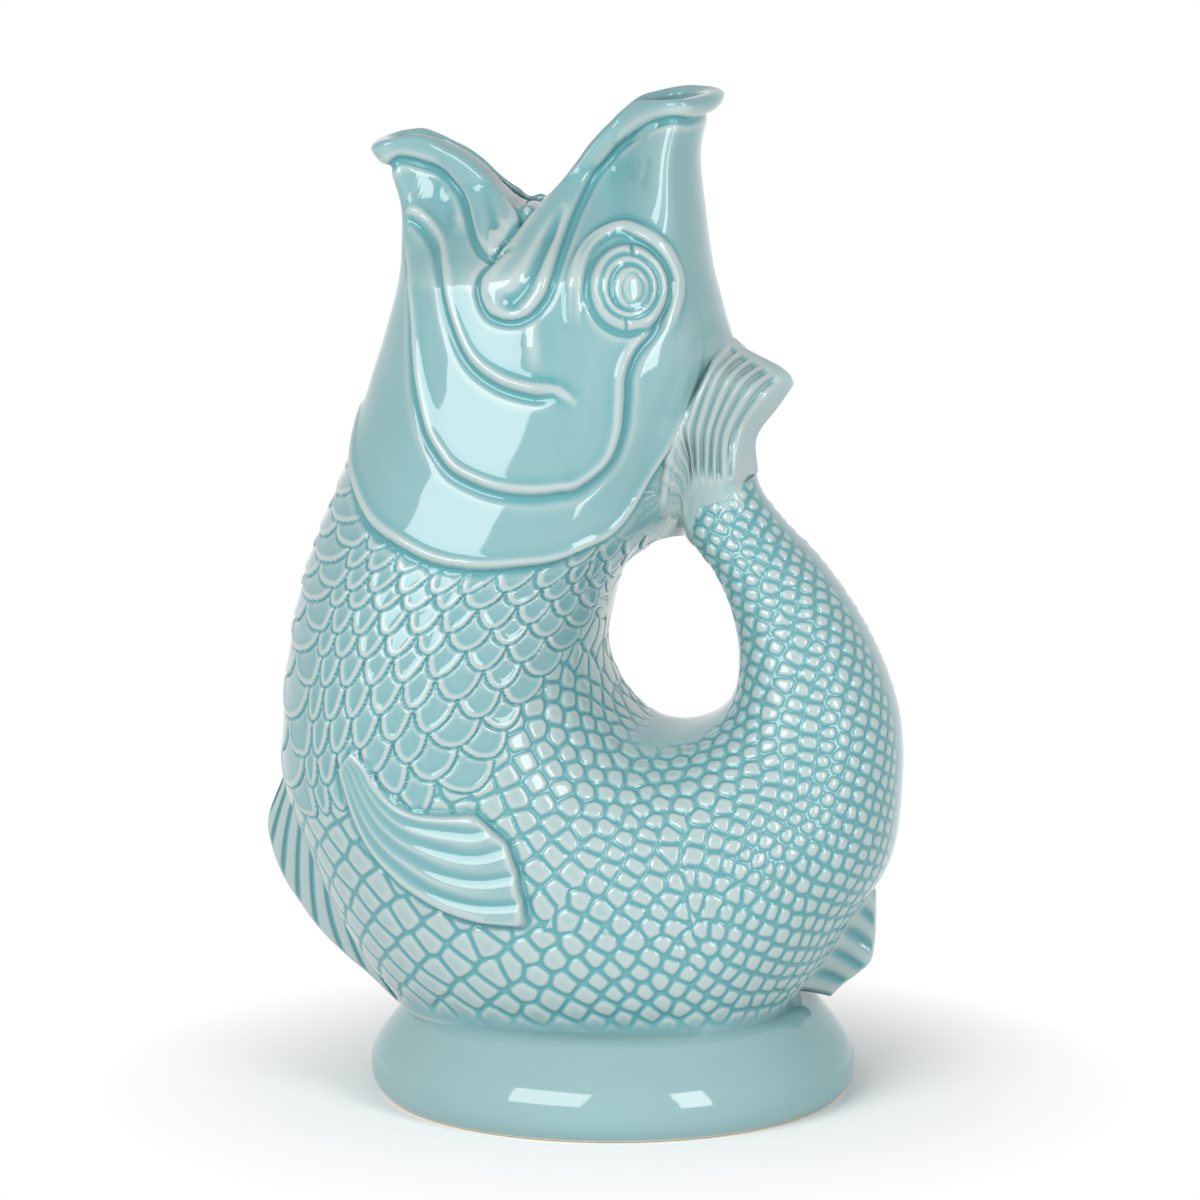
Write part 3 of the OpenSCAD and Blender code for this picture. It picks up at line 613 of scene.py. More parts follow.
    def eyes(self, p, px, tilt):
        """Rings of the eye, in widths of its outer ring, inside a raised brow."""
        away = px - EYE_PX
        wide = np.linalg.norm(away / EYE_SIZE_PX, axis=-1)
        ring, inner, moat = (high * bump(wide - place, width) for place, width, high in EYE_RINGS)
        x = away[..., 0] - np.where(away[..., 1] < 0, *SLIT_PLACES_PX)
        ring *= 1 - SLIT_DEPTH * bump(x, SLIT_WIDTH_PX)
        away = away - BALL_AWAY_PX
        ball = np.sqrt(np.clip(1 - np.sum((away / BALL_SIZE_PX) ** 2, axis=-1), 0, 1))
        pupil = np.linalg.norm(away / PUPIL_SIZE_PX, axis=-1)
        eye = (EYE_MOUND * smooth(1.05, 0.7, wide) + ring + inner + moat + BALL_HEIGHT * ball
               - PUPIL_CUT * bump(pupil - 1, PUPIL_LINE))
        gap, live = self.ridge("brow", px, tilt, STARTS_SLOWLY, BROW_ENDS)
        brow = BROW_HEIGHT * smooth(*BROW_RISES, gap) * (1 - smooth(*BROW_FALLS, gap)) * live
        return np.where(np.linalg.norm(p - self.eye, axis=-1) < EYE_REACH, eye, 0) + brow

    def lips(self, u, a, px, tilt):
        """Rolled lips; the upper one ends in a spoon-shaped flap at the corner of the mouth."""
        rim = (u - mouth_at(a)) * SECTION_PITCH
        low_gap = mix(LOWER_EDGE - rim, self.lines["lower lip"].gap(px, tilt)[0],
                      smooth(*LOWER_DRAWN, a))
        low_gap = np.where(a > LOWER_ENDS, NOWHERE, low_gap)
        dip, at = self.lines["lip dip"].gap(px, tilt)
        lower = self.bead(low_gap, LOWER_BEAD) - DIP_DEPTH * bump(dip, DIP_WIDTH) * smooth(0.1, 0.9, at)
        gap = mix(self.lines["upper lip"].gap(px, tilt)[0], UPPER_EDGE - rim,
                  smooth(*UPPER_DRAWN, a))
        gap = np.where(a < UPPER_STARTS, NOWHERE, gap)
        spoon, at = self.lines["spoon"].gap(px, tilt)
        spoon = SPOON_DEPTH * bump(spoon, mix(*SPOON_WIDTHS, at)) * (1 - smooth(*ENDS_SLOWLY, at))
        upper = self.bead(gap, UPPER_BEAD) - spoon
        low_groove, groove = (bump(v + LIP_GROOVE_AWAY, LIP_GROOVE_WIDTH) for v in (low_gap, gap))
        saddle = np.linalg.norm((px - SADDLE_PX) * [1, SADDLE_FLAT], axis=-1)
        return (np.maximum(lower, upper) - LIP_GROOVE * (low_groove * (upper < 0.1) + groove)
                + SADDLE_HEIGHT * bump(saddle, SADDLE_SIZE_PX) * (a > 50))

    def bead(self, gap, width):
        t = np.clip(gap / width, 0, 1)
        return self.lip * np.sqrt(np.maximum(1 - (1 - t) ** 2, 0)) * smooth(-0.1, 0.4, gap)

    def height(self, u, a):
        p = skin(u, a)
        px = to_pixels(p)
        along, across, _ = directions(u, a)
        # pixels per millimetre along and round the fish
        tilt = np.stack([to_pixels(p + along) - px, to_pixels(p + across) - px], -1)
        h, self.tint = np.zeros(u.shape), np.zeros(u.shape)
        rows = (u > SCALES_FROM).any(axis=1)
        if rows.any():
            scaled, tint = self.scales.height(u[rows], a[rows], p[rows])
            clear = smooth(*SCALES_BEHIND_GILL, u[rows] - self.gill_u(a[rows]))
            clear = np.where(a[rows] > BACK_FADES[0], smooth(*SCALES_ON_BACK, u[rows]), clear)
            h[rows] += scaled * clear
            self.tint[rows] = tint * clear
        rows = ((u > FIN_FROM) & (u < FIN_TO)).any(axis=1)
        if rows.any():
            stand, on = self.fin(px[rows], tilt[rows])
            h[rows] = np.where(on, 0, h[rows]) + stand
            self.tint[rows] = np.where(on, 0, self.tint[rows])
        low = np.clip((INNER_FLOOR - p[..., 2]) / FLARE_HEIGHT, 0, 1)
        h += np.where(u > FLARE_FROM, FLARE * low ** 2, 0)
        rows = (u < HEAD_TO).any(axis=1)
        if rows.any():
            part = (px[rows], tilt[rows])
            h[rows] += (self.head(u[rows], a[rows], p[rows], *part)
                        + self.lips(u[rows], a[rows], *part))
        for rows, others in (((u < SWELL_TO).any(axis=1), self.tail_near),
                             ((u > SWELL_FROM).any(axis=1), self.head_near)):
            if rows.any():
                h[rows] += self.swell(p[rows], others)
        return h


# Scales: where their rows, columns and small cells lie, read off the photograph

ROW_TIPS_PX = [(500, y) for y in (592, 607, 628, 646, 667, 689, 711, 731, 754, 779, 805, 832)]
# One column of scale tips each, from its top to its foot
COLUMNS_PX = [[(328, 603), (309, 700)], [(343, 612), (322, 712)], [(365, 616), (340, 725)],
              [(395, 612), (362, 735)], [(430, 605), (393, 745)], [(467, 590), (428, 750)],
              [(506, 592), (493, 754)], [(542, 590), (545, 752)], [(570, 592), (583, 700)],
              [(590, 575), (606, 640)]]
# Section where the scallops give way to small cells, by angle
SCALLOP_END = np.array([[0, 11.2], [40, 11.4], [80, 12.0], [105, 12.6], [115, 12.2], [125, 11.2],
                        [135, 10.3], [145, 9.4], [155, 8.5], [165, 7.9], [180, 7.6]])
# Small scales: place, and the steps across and down from one scale to the next
NET_PX = [(554, 883, 15.8, 16.6, -10, 17), (646, 903, 15, 15, -7, 14.6),
          (647, 958, 13.3, 10.8, -9.1, 14.1), (490, 958, 17, 18, -10.5, 15.5),
          (658, 864, 15.6, 17.8, -2.6, 16.9), (636, 809, 16.3, 10.4, -1.7, 15.6),
          (755, 781, 18.4, 8.2, 1.5, 15.6), (777, 625, 15.6, 5.4, 1.7, 15.2),
          (754, 550, 16.3, 5.4, -5.9, 11.5), (850, 662, 11.3, 6.7, -2.7, 12),
          (850, 788, 12, 8, -6.7, 12), (575, 740, 9.8, 17, -8, 18), (400, 920, 14, 17, -11, 15),
          (709, 902, 14.1, 5.8, -6.1, 15.8), (813, 844, 11.5, 9.2, -9.2, 12.2),
          (785, 925, 15.3, 1.5, -1.5, 15.8), (736, 960, 10.4, 6.1, -8.4, 13),
          (680, 962, 14.5, 5.4, -11, 13), (335, 850, 10, 15, -7, 14),
          (352, 902, 12, 15, -8, 14)]
# How many rows a scallop reaches down, the pitch of rows before and after those that show in the
# photo, in sections, and the section where the columns are set out
SCALE_REACH, PITCH_BEFORE, PITCH_AFTER, COLUMNS_FROM = 1.35, 0.36, 0.5, 9.0
# Columns added to the front line, as shares of the first one's angle, and towards the inner line
FRONT_COLUMNS, BACK_COLUMNS = (-0.4, 0.35), (13, 26, 40)
# Roundness of a scallop's end: from the front line round to the side
END_POWERS, POWER_CHANGES = (2.6, 1.9), (40, 80)
# Grid of the small scales in sections and degrees, how far they stray from the net in pitches,
# how fast a fact loses its say in millimetres, and how round their corners are
NET_STEP, NET_ANGLE, NUDGE, SEATS, NEAREST, CORNER_ROUND = 0.5, 7.5, 0.15, 256, 3, 0.45
FAR = 9.0
# Form of a scallop: raised lip, bead along it and nick at its edge, as height and width
SCALLOP_LIP, SCALLOP_BEAD, SCALLOP_NICK = (0.5, 3.0), (0.18, 0.6), (0.25, 0.35)
# Smooth bands by the foot, along the tail's outer line, round the finger hole and by the fin
FOOT_BAND, TAIL_FROM, TAIL_BAND = (24.5, 29), (17, 21), (10, 26)
HOLE_FROM, HOLE_BAND, FIN_BAND = (12.5, 14), (150, 166), (27.3, 27.7)
# Glaze on a small scale: a little thick between two, thin all over one
TINT_BETWEEN, TINT_OVER = 0.06, 0.15


def directions(u, a):
    """Unit vectors along the sections, round the section and outward."""
    outward = skin_normal(u, a)
    along = unit(skin(u + 0.03, a) - skin(u - 0.03, a))
    along = unit(along - outward * np.sum(along * outward, -1, keepdims=True))
    return along, np.cross(outward, along), outward


class Net:
    """Small scales in staggered rows: two counts, laid over the skin so that they grow by one
    from each scale to its neighbours across and down."""

    def __init__(self, seed):
        facts = np.array(NET_PX, float)
        at = facts[:, :2]
        u, a, self.known = find(at)
        frames = directions(u, a)[:2]
        steps = []
        for k in (2, 4):
            step = find(at + facts[:, k:k + 2] / 2)[2] - find(at - facts[:, k:k + 2] / 2)[2]
            steps.append([np.sum(step * way, -1) for way in frames])
        # growth of the two counts per millimetre along and round the fish
        self.growth = np.linalg.inv(np.array(steps).transpose(2, 1, 0))
        self.us, self.angles = np.arange(6.5, 28.6, NET_STEP), np.arange(0, 181, NET_ANGLE)
        self.counts = self.lay()
        self.nudge = np.random.default_rng(seed).uniform(-NUDGE, NUDGE, (SEATS, SEATS, 2))

    def lay(self):
        """The counts at the nodes of a grid whose differences come closest to the growth."""
        shape = (len(self.us), len(self.angles))
        number = np.arange(shape[0] * shape[1]).reshape(shape)
        u, a = np.meshgrid(self.us, self.angles, indexing="ij")
        flat_u, flat_a = u.ravel(), a.ravel()
        pairs = np.concatenate([
            np.stack([number[:-1].ravel(), number[1:].ravel()], -1),
            np.stack([number[:, :-1].ravel(), number[:, 1:].ravel()], -1)])
        first, second = pairs.T
        mid_u, mid_a = (flat_u[first] + flat_u[second]) / 2, (flat_a[first] + flat_a[second]) / 2
        run = skin(flat_u[second], flat_a[second]) - skin(flat_u[first], flat_a[first])
        along, across, _ = directions(mid_u, mid_a)
        place = skin(mid_u, mid_a)
        apart = np.linalg.norm(place[:, None] - self.known[None], axis=-1)
        weight = 1 / (apart + NEAREST) ** 4
        growth = np.einsum("nk,kij->nij", weight / weight.sum(1, keepdims=True), self.growth)
        run = np.stack([np.sum(run * along, -1), np.sum(run * across, -1)], -1)
        target = np.einsum("nij,nj->ni", growth, run)
        trust = 1 / np.maximum(np.linalg.norm(run, axis=-1), 0.5)
        rows = np.zeros((len(pairs) + 1, number.size))
        rows[np.arange(len(pairs)), first] = -trust
        rows[np.arange(len(pairs)), second] = trust
        rows[-1, 0] = 1
        target = np.vstack([target * trust[:, None], [[0, 0]]])
        both = rows.T @ rows
        counts = np.linalg.solve(both + 1e-9 * np.eye(len(both)), rows.T @ target)
        return counts.reshape(*shape, 2)

    def at(self, u, a):
        """The two counts at each place, by a smooth surface through the nodes."""
        x, y = (u - self.us[0]) / NET_STEP, a / NET_ANGLE
        i = np.clip(np.floor(x).astype(int), 0, len(self.us) - 2)
        j = np.clip(np.floor(y).astype(int), 0, len(self.angles) - 2)
        out = 0
        for k, share in enumerate(spline_shares(x - i)):
            row = np.clip(i + k - 1, 0, len(self.us) - 1)
            for m, part in enumerate(spline_shares(y - j)):
                column = np.clip(j + m - 1, 0, len(self.angles) - 1)
                out = out + self.counts[row, column] * (share * part)[..., None]
        return out

    def edge(self, u, a):
        """Distance in millimetres from each place to the edge of its scale."""
        du, da = 0.05, np.where(a > 90, -0.5, 0.5)
        q = self.at(u, a)
        turn = np.stack([(self.at(u + du, a) - q) / du, (self.at(u, a + da) - q) / da[:, None]], -1)
        p = skin(u, a)
        run = np.stack([(skin(u + du, a) - p) / du, (skin(u, a + da) - p) / da[:, None]], -1)
        step = run @ np.linalg.inv(turn)
        form = step.transpose(0, 2, 1) @ step
        corner = np.floor(q).astype(int)
        i, j = (v.ravel() for v in np.meshgrid(range(-1, 3), range(-1, 3), indexing="ij"))
        seats = corner[:, None] + np.stack([i, j], -1)[None]
        places = seats + self.nudge[seats[..., 0] % SEATS, seats[..., 1] % SEATS]
        gap = places - q[:, None]
        apart = np.einsum("nki,nij,nkj->nk", gap, form, gap)
        own = np.argmin(apart, axis=1)[:, None]
        between = places - np.take_along_axis(places, own[..., None], 1)
        size = np.sqrt(np.maximum(np.einsum("nki,nij,nkj->nk", between, form, between), 1e-6))
        e = (apart - np.take_along_axis(apart, own, 1)) / (2 * size)
        np.put_along_axis(e, own, FAR, 1)
        return -CORNER_ROUND * np.log(np.exp(-e / CORNER_ROUND).sum(1) + 1e-9)


def spline_shares(t):
    """Shares of four neighbouring values in a smooth curve between the middle two."""
    return (0.5 * (-t + 2 * t * t - t ** 3), 0.5 * (2 - 5 * t * t + 3 * t ** 3),
            0.5 * (t + 4 * t * t - 3 * t ** 3), 0.5 * (-t * t + t ** 3))


class Scales:
    """Overlapping scallops on the breast, and small cells on the belly and tail."""

    def __init__(self):
        s = settings().scales
        self.depth, self.width, self.dome = (v / MM for v in (
            s.groove_depth, s.groove_width, s.dome))
        self.tips = find(ROW_TIPS_PX)[0]
        ends = np.array(COLUMNS_PX, float)
        u, a, _ = find(ends.reshape(-1, 2))
        u, a = u.reshape(-1, 2), a.reshape(-1, 2)
        slope = (a[:, 1] - a[:, 0]) / (u[:, 1] - u[:, 0])
        start = a[:, 0] + (COLUMNS_FROM - u[:, 0]) * slope
        self.start = np.concatenate([start[0] * np.array(FRONT_COLUMNS), start,
                                     start[-1] + np.array(BACK_COLUMNS)])
        self.slope = np.concatenate([[0, slope[0]], slope, [slope[-1]] * len(BACK_COLUMNS)])
        self.count = np.arange(len(self.tips)) + SCALE_REACH
        self.net = Net(s.seed)

    def row(self, u):
        before = self.count[0] + (u - self.tips[0]) / PITCH_BEFORE
        after = self.count[-1] + (u - self.tips[-1]) / PITCH_AFTER
        r = np.where(u < self.tips[0], before, np.interp(u, self.tips, self.count))
        return np.where(u > self.tips[-1], after, r)

    def section(self, r):
        before = self.tips[0] + (r - self.count[0]) * PITCH_BEFORE
        after = self.tips[-1] + (r - self.count[-1]) * PITCH_AFTER
        u = np.where(r > self.count[-1], after, np.interp(r, self.count, self.tips))
        return np.where(r < self.count[0], before, u)

    def border(self, u, k):
        """Angle of a border between two columns."""
        return self.start[k] + (u - COLUMNS_FROM) * self.slope[k]

    def column(self, u, a):
        c = np.zeros(u.shape)
        for k in range(len(self.start) - 1):
            low, high = self.border(u, k), self.border(u, k + 1)
            c += np.clip((a - low) / np.maximum(high - low, 0.5), 0, 1)
        return c

    def angle(self, u, c):
        k = np.clip(np.floor(c).astype(int), 0, len(self.start) - 2)
        return mix(self.border(u, k), self.border(u, k + 1), c - k)

    def on_breast(self, j, c):
        """Which scallops of row j there are, and how far across its scallop each place lies."""
        x = np.mod(c + 0.5 * j + 0.5, 1) - 0.5
        middle = self.section(j + 0.7 * SCALE_REACH)
        return middle < np.interp(self.angle(middle, c - x), *SCALLOP_END.T), x

    def scallops(self, u, a):
        """Distance inside the lower edge of the scale at each place, distance outside the edges
        of the scales that lie over it, and where no scallop is."""
        r, c = self.row(u), self.column(u, a)
        du, da = 0.05, 0.5
        r_run = (self.row(u + du) - self.row(u - du)) / (2 * du)
        c_run = (self.column(u, a + da) - self.column(u, a - da)) / (2 * da)
        tall, wide = (np.linalg.norm(skin(u + du * i, a + da * j) - skin(u - du * i, a - da * j), axis=-1)
                      / (2 * (du * i + da * j)) for i, j in ((1, 0), (0, 1)))
        tall, wide = tall / np.maximum(r_run, 0.3), wide / np.maximum(c_run, 0.01)
        inner, outer = np.full(u.shape, FAR), np.full(u.shape, FAR)
        bare = np.ones(u.shape, bool)
        power = mix(*END_POWERS, smooth(*POWER_CHANGES, a))
        for back in range(3, -1, -1):
            # from the scales nearest the head, which lie on top
            j = np.floor(r) - back
            on, x = self.on_breast(j, c)
            span = np.clip(1 - np.abs(2 * x) ** power, 1e-3, 1)
            reach = np.clip((r - j) / SCALE_REACH, 0, 1)
            down = (j + SCALE_REACH * span ** (1 / power) - r) * tall
            aside = (0.5 * (1 - reach ** power) ** (1 / power) - np.abs(x)) * wide
            # beyond the tips there is no side to be inside of
            aside = aside - 4 * np.maximum(r - j - SCALE_REACH, 0) * tall
            gap = down * np.abs(aside) / np.maximum(np.hypot(down, aside), 1e-6)
            covers = on & (gap > 0) & bare
            inner = np.where(covers, gap, inner)
            # the notch between two neighbours is hidden by the scale over it
            hidden = 2 * smooth(0.52, 0.36, r - j)
            outer = np.where(on & (gap <= 0) & bare, np.minimum(outer, hidden - gap), outer)
            bare &= ~covers
        # in the cusp between two neighbours the scale below them shows
        return inner, outer, bare & ~self.on_breast(np.floor(r) + 1, c)[0]

    def height(self, u, a, p):
        """Height over the skin, and how much thicker than usual the glaze lies."""
        inner, outer, bare = self.scallops(u, a)
        small_here = bare & (p[..., 2] > SKIN_FLOOR)
        cell = np.full(u.shape, FAR)
        if small_here.any():
            cell[small_here] = self.net.edge(u[small_here], a[small_here])
        lip, bead, nick = SCALLOP_LIP, SCALLOP_BEAD, SCALLOP_NICK
        scallop = (lip[0] * np.exp(-inner / lip[1]) + bead[0] * bump(inner - 0.9, bead[1])
                   - nick[0] * bump(inner, nick[1])
                   - self.depth * bump(outer - 0.15, self.width * 1.25))
        edge = np.minimum(cell, outer)
        small = (-self.depth * 0.8 * bump(edge, self.width * 1.4)
                 + self.dome * (1.6 - np.exp(-edge / 1.1)))
        band = smooth(*FOOT_BAND, p[..., 2]) * (1 - smooth(*FIN_BAND, u))
        band *= 1 - smooth(*TAIL_FROM, u) * (1 - smooth(*TAIL_BAND, a))
        band *= 1 - smooth(*HOLE_FROM, u) * smooth(*HOLE_BAND, a)
        tint = np.where(bare, TINT_BETWEEN - TINT_OVER * smooth(0.2, 1.1, edge), 0)
        return np.where(bare, small, scallop) * band, tint * band


# Meshes

# Columns and rows beyond each end of a grid, for slopes and blurs, and how many times coarser the
# inside of the jug is than the outside
HALO, COARSER = 10, 8
# Points hidden in the foot, up to this height over the skin's floor, lie further apart
HIDDEN_TO, HIDDEN_SHARE = 0.5, 0.12


def even_places(step, cell, places, least):
    """Places that lie about a cell apart, in a number that the coarser inside shares."""
    run = np.concatenate([[0], np.cumsum(step)])
    count = max(COARSER * int(round(run[-1] / cell / COARSER)), least)
    return np.interp(np.linspace(0, run[-1], count + 1), run, places)


def even_angles(us, cell):
    """Angles round the near half that put points about a cell apart."""
    a = np.linspace(0, 180, 721)
    p = skin(us[:, None], a[None, :])
    step = np.linalg.norm(np.diff(p, axis=1), axis=-1)
    hidden = p[:, 1:, 2] < SKIN_FLOOR + HIDDEN_TO
    return even_places(np.where(hidden, HIDDEN_SHARE * step, step).max(axis=0), cell, a, 16)


def even_rows(low, high, cell):
    """Places along the fish, from low to high, about a cell apart where it is widest."""
    fine = np.linspace(low, high, 241)
    p = skin(fine[:, None], np.arange(0, 181, 30.0)[None, :])
    step = np.linalg.norm(np.diff(p, axis=0), axis=-1)
    visible = p[1:, :, 2] > SKIN_FLOOR + HIDDEN_TO
    return even_places(np.where(visible, step, 0).max(axis=1), cell, fine, 8)


def with_halo(rows):
    """The rows with some more beyond each end."""
    more = np.arange(1, HALO + 1)[:, None]
    return np.concatenate([rows[0] - (rows[1] - rows[0]) * more[::-1], rows,
                           rows[-1] + (rows[-1] - rows[-2]) * more])


def mirrored(half):
    """The near half with some columns of the far half beyond each end."""
    flip = np.array([1, -1, 1])[:half.shape[-1]]
    left = half[:, HALO:0:-1] * flip
    right = half[:, -2:-2 - HALO:-1] * flip
    return np.concatenate([left, half, right], axis=1)


def grid_normals(grid):
    return unit(np.cross(np.gradient(grid, axis=0), np.gradient(grid, axis=1)))


def blur(grid, times):
    """Each point drawn to its neighbours along both ways of the grid, and the ends left."""
    for _ in range(2 * times):
        grid = np.concatenate([grid[:1], (grid[:-2] + 2 * grid[1:-1] + grid[2:]) / 4, grid[-1:]])
        grid = grid.swapaxes(0, 1)
    return grid


def pooling(grid, normals, times=(3, 10), wide_share=0.6):
    """How far each point lies below its surroundings, in millimetres: where glaze gathers."""
    fine, wide = (np.sum((blur(grid, n) - grid) * normals, -1) for n in times)
    return fine + wide_share * wide


def trimmed(grid):
    return grid[HALO:-HALO, HALO:-HALO]


def whole_ring(half, flip=(1, -1, 1)):
    """A closed ring of columns from the near half and its mirror image."""
    return np.concatenate([half, half[:, -2:0:-1] * np.array(flip)], axis=1)


def grid_faces(first, rows, count):
    """Quads between closed rows of count points, with point indices starting at first."""
    i, j = np.meshgrid(np.arange(rows - 1), np.arange(count), indexing="ij")
    a = first + i * count + j
    b = first + i * count + (j + 1) % count
    return np.stack([a, a + count, b + count, b], -1).reshape(-1, 4)


def make_piece(name, points, normals, pools, quads, polygons, nodes):
    """A glazed piece in metres from points in millimetres, with its own shading normals."""
    mesh = bpy.data.meshes.new(name)
    quads = np.concatenate(quads)
    loops = np.concatenate([quads.ravel()] + [np.asarray(p) for p in polygons])
    sizes = np.concatenate([np.full(len(quads), 4), [len(p) for p in polygons]]).astype(int)
    points, normals = (np.concatenate([v.reshape(-1, 3) for v in part]) for part in (points, normals))
    mesh.vertices.add(len(points))
    mesh.vertices.foreach_set("co", (points * MM).astype(np.float32).ravel())
    mesh.loops.add(len(loops))
    mesh.loops.foreach_set("vertex_index", loops.astype(np.int32))
    mesh.polygons.add(len(sizes))
    starts = np.concatenate([[0], np.cumsum(sizes)[:-1]])
    mesh.polygons.foreach_set("loop_start", starts.astype(np.int32))
    mesh.polygons.foreach_set("loop_total", sizes.astype(np.int32))
    mesh.polygons.foreach_set("use_smooth", np.ones(len(sizes), bool))
    mesh.update(calc_edges=True)
    mesh.validate()
    # glaze is even where nothing says how it pools
    pool = np.zeros(len(points), np.float32)
    pool[:pools.size] = pools.ravel()
    mesh.attributes.new("pool", "FLOAT", "POINT").data.foreach_set("value", pool)
    mesh.normals_split_custom_set_from_vertices(normals.tolist())
    mesh.materials.append(glaze_material())
    obj = bpy.data.objects.new(name, mesh)
    bpy.context.scene.collection.objects.link(obj)
    finish(obj, "glaze", *nodes)


def skin_points(u, angles):
    """Displaced points, normals and pooling on the near half, without the halo of the rows."""
    a = np.repeat(angles[None, :], len(u), axis=0)
    shape = relief()
    grid = mirrored(skin(u, a) + skin_normal(u, a) * shape.height(u, a)[..., None])
    normals = grid_normals(grid)
    if u[0].mean() > u[-1].mean():
        normals = -normals
    pools = pooling(grid, normals) + mirrored(shape.tint[..., None])[..., 0]
    return trimmed(grid), trimmed(normals), trimmed(pools[..., None])


def ring_shell(name, u, angles, near, nodes):
    """A closed ring of the jug: sculpted outside, plain and coarser inside."""
    out = [whole_ring(near[0]), whole_ring(near[1]), whole_ring(near[2], (1,))]
    rows, count = out[0].shape[:2]
    few = u[::COARSER, ::COARSER]
    few_a = np.repeat(angles[None, ::COARSER], len(few), axis=0)
    inner = whole_ring(skin(few, few_a, settings().skin.wall / MM, INNER_FLOOR))
    in_rows, in_count = inner.shape[:2]
    first = rows * count
    base, in_base = first - count, first + (in_rows - 1) * in_count
    polygons = []
    for j in range(in_count):
        k = (j + 1) % in_count
        fine = [(j * COARSER + m) % count for m in range(COARSER + 1)]
        polygons.append([first + j, first + k] + fine[::-1])
        polygons.append([in_base + k, in_base + j] + [base + m for m in fine])
    make_piece(name, (out[0], inner), (out[1], -whole_ring(skin_normal(few, few_a))), out[2],
               [grid_faces(0, rows, count), grid_faces(first, in_rows, in_count)[:, ::-1]],
               polygons, nodes)


# Glaze

def add_node(tree, kind, values=None, **links):
    """A node with its plain settings, its sockets' values and links from other sockets."""
    node = tree.nodes.new(kind)
    for key, value in (values or {}).items():
        if hasattr(node, key):
            setattr(node, key, value)
        else:
            node.inputs[key].default_value = value
    for key, source in links.items():
        tree.links.new(source, node.inputs[key.replace("_", " ")])
    return node


def maths(tree, operation, first, second):
    """A maths node between sockets or plain numbers."""
    node = add_node(tree, "ShaderNodeMath", {"operation": operation})
    for socket, value in zip(node.inputs, (first, second)):
        if isinstance(value, (int, float)):
            socket.default_value = value
        else:
            tree.links.new(value, socket)
    return node.outputs["Value"]


GLAZE_NAME = "aqua earthenware glaze"
GLAZE = {"Roughness": 0.06, "IOR": 1.5, "Specular IOR Level": 0.5, "Coat Weight": 0.0}
# Pooling in millimetres at which the glaze is thinnest and deepest, and the ramp's three stops
POOLS_OVER, THIN_STOP, EVEN_STOP, POOLED_STOP = 0.22, 0.12, 0.47, 0.92


def glaze_material():
    """Aqua earthenware glaze, dipped: thin and pale over raised edges, deep in grooves, with
    the hard even gloss of a fired glass."""
    found = bpy.data.materials.get(GLAZE_NAME)
    if found:
        return found
    look = settings().glaze
    material = bpy.data.materials.new(GLAZE_NAME)
    material.use_nodes = True
    tree = material.node_tree
    tree.nodes.clear()
    out = add_node(tree, "ShaderNodeOutputMaterial")
    base = add_node(tree, "ShaderNodeBsdfPrincipled", GLAZE)
    pool = add_node(tree, "ShaderNodeAttribute", {"attribute_name": "pool"})
    ramp = add_node(tree, "ShaderNodeValToRGB")
    share = add_node(tree, "ShaderNodeMapRange", {
        "From Min": -POOLS_OVER, "From Max": POOLS_OVER, "To Min": 0.0, "To Max": 1.0},
        Value=pool.outputs["Fac"])
    tree.links.new(share.outputs["Result"], ramp.inputs["Fac"])
    stops = ramp.color_ramp.elements
    stops[0].position, stops[0].color = THIN_STOP, (*look.thin, 1)
    stops[1].position, stops[1].color = POOLED_STOP, (*look.pooled, 1)
    middle = stops.new(EVEN_STOP)
    middle.color = (*look.even, 1)
    tree.links.new(ramp.outputs["Color"], base.inputs["Base Color"])
    tree.links.new(base.outputs["BSDF"], out.inputs["Surface"])
    return material


RELIEF = []


def relief():
    if not RELIEF:
        RELIEF.append(Relief())
    return RELIEF[0]


def finish(obj, slot, *nodes):
    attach(obj, "root")
    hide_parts(*nodes)


# Sections whose widest girth sets the columns of the head, its length in millimetres, and the
# share of it below the mouth
HEAD_SECTIONS, HEAD_LENGTH, THROAT_SHARE = (1, 8), 118, 0.45
# Where the inner walls at the corners of the mouth close to a slit, in a saddle: angles, sections
# below the cut, and the share of their way to the middle
SADDLE_GROWS, SADDLE_ENDS, SADDLE_FADES, SADDLE_CLOSES = (40, 64), (98, 118), (0.05, 0.9), 0.9
RIM_STEPS, RIM_HEIGHT = 14, 0.42


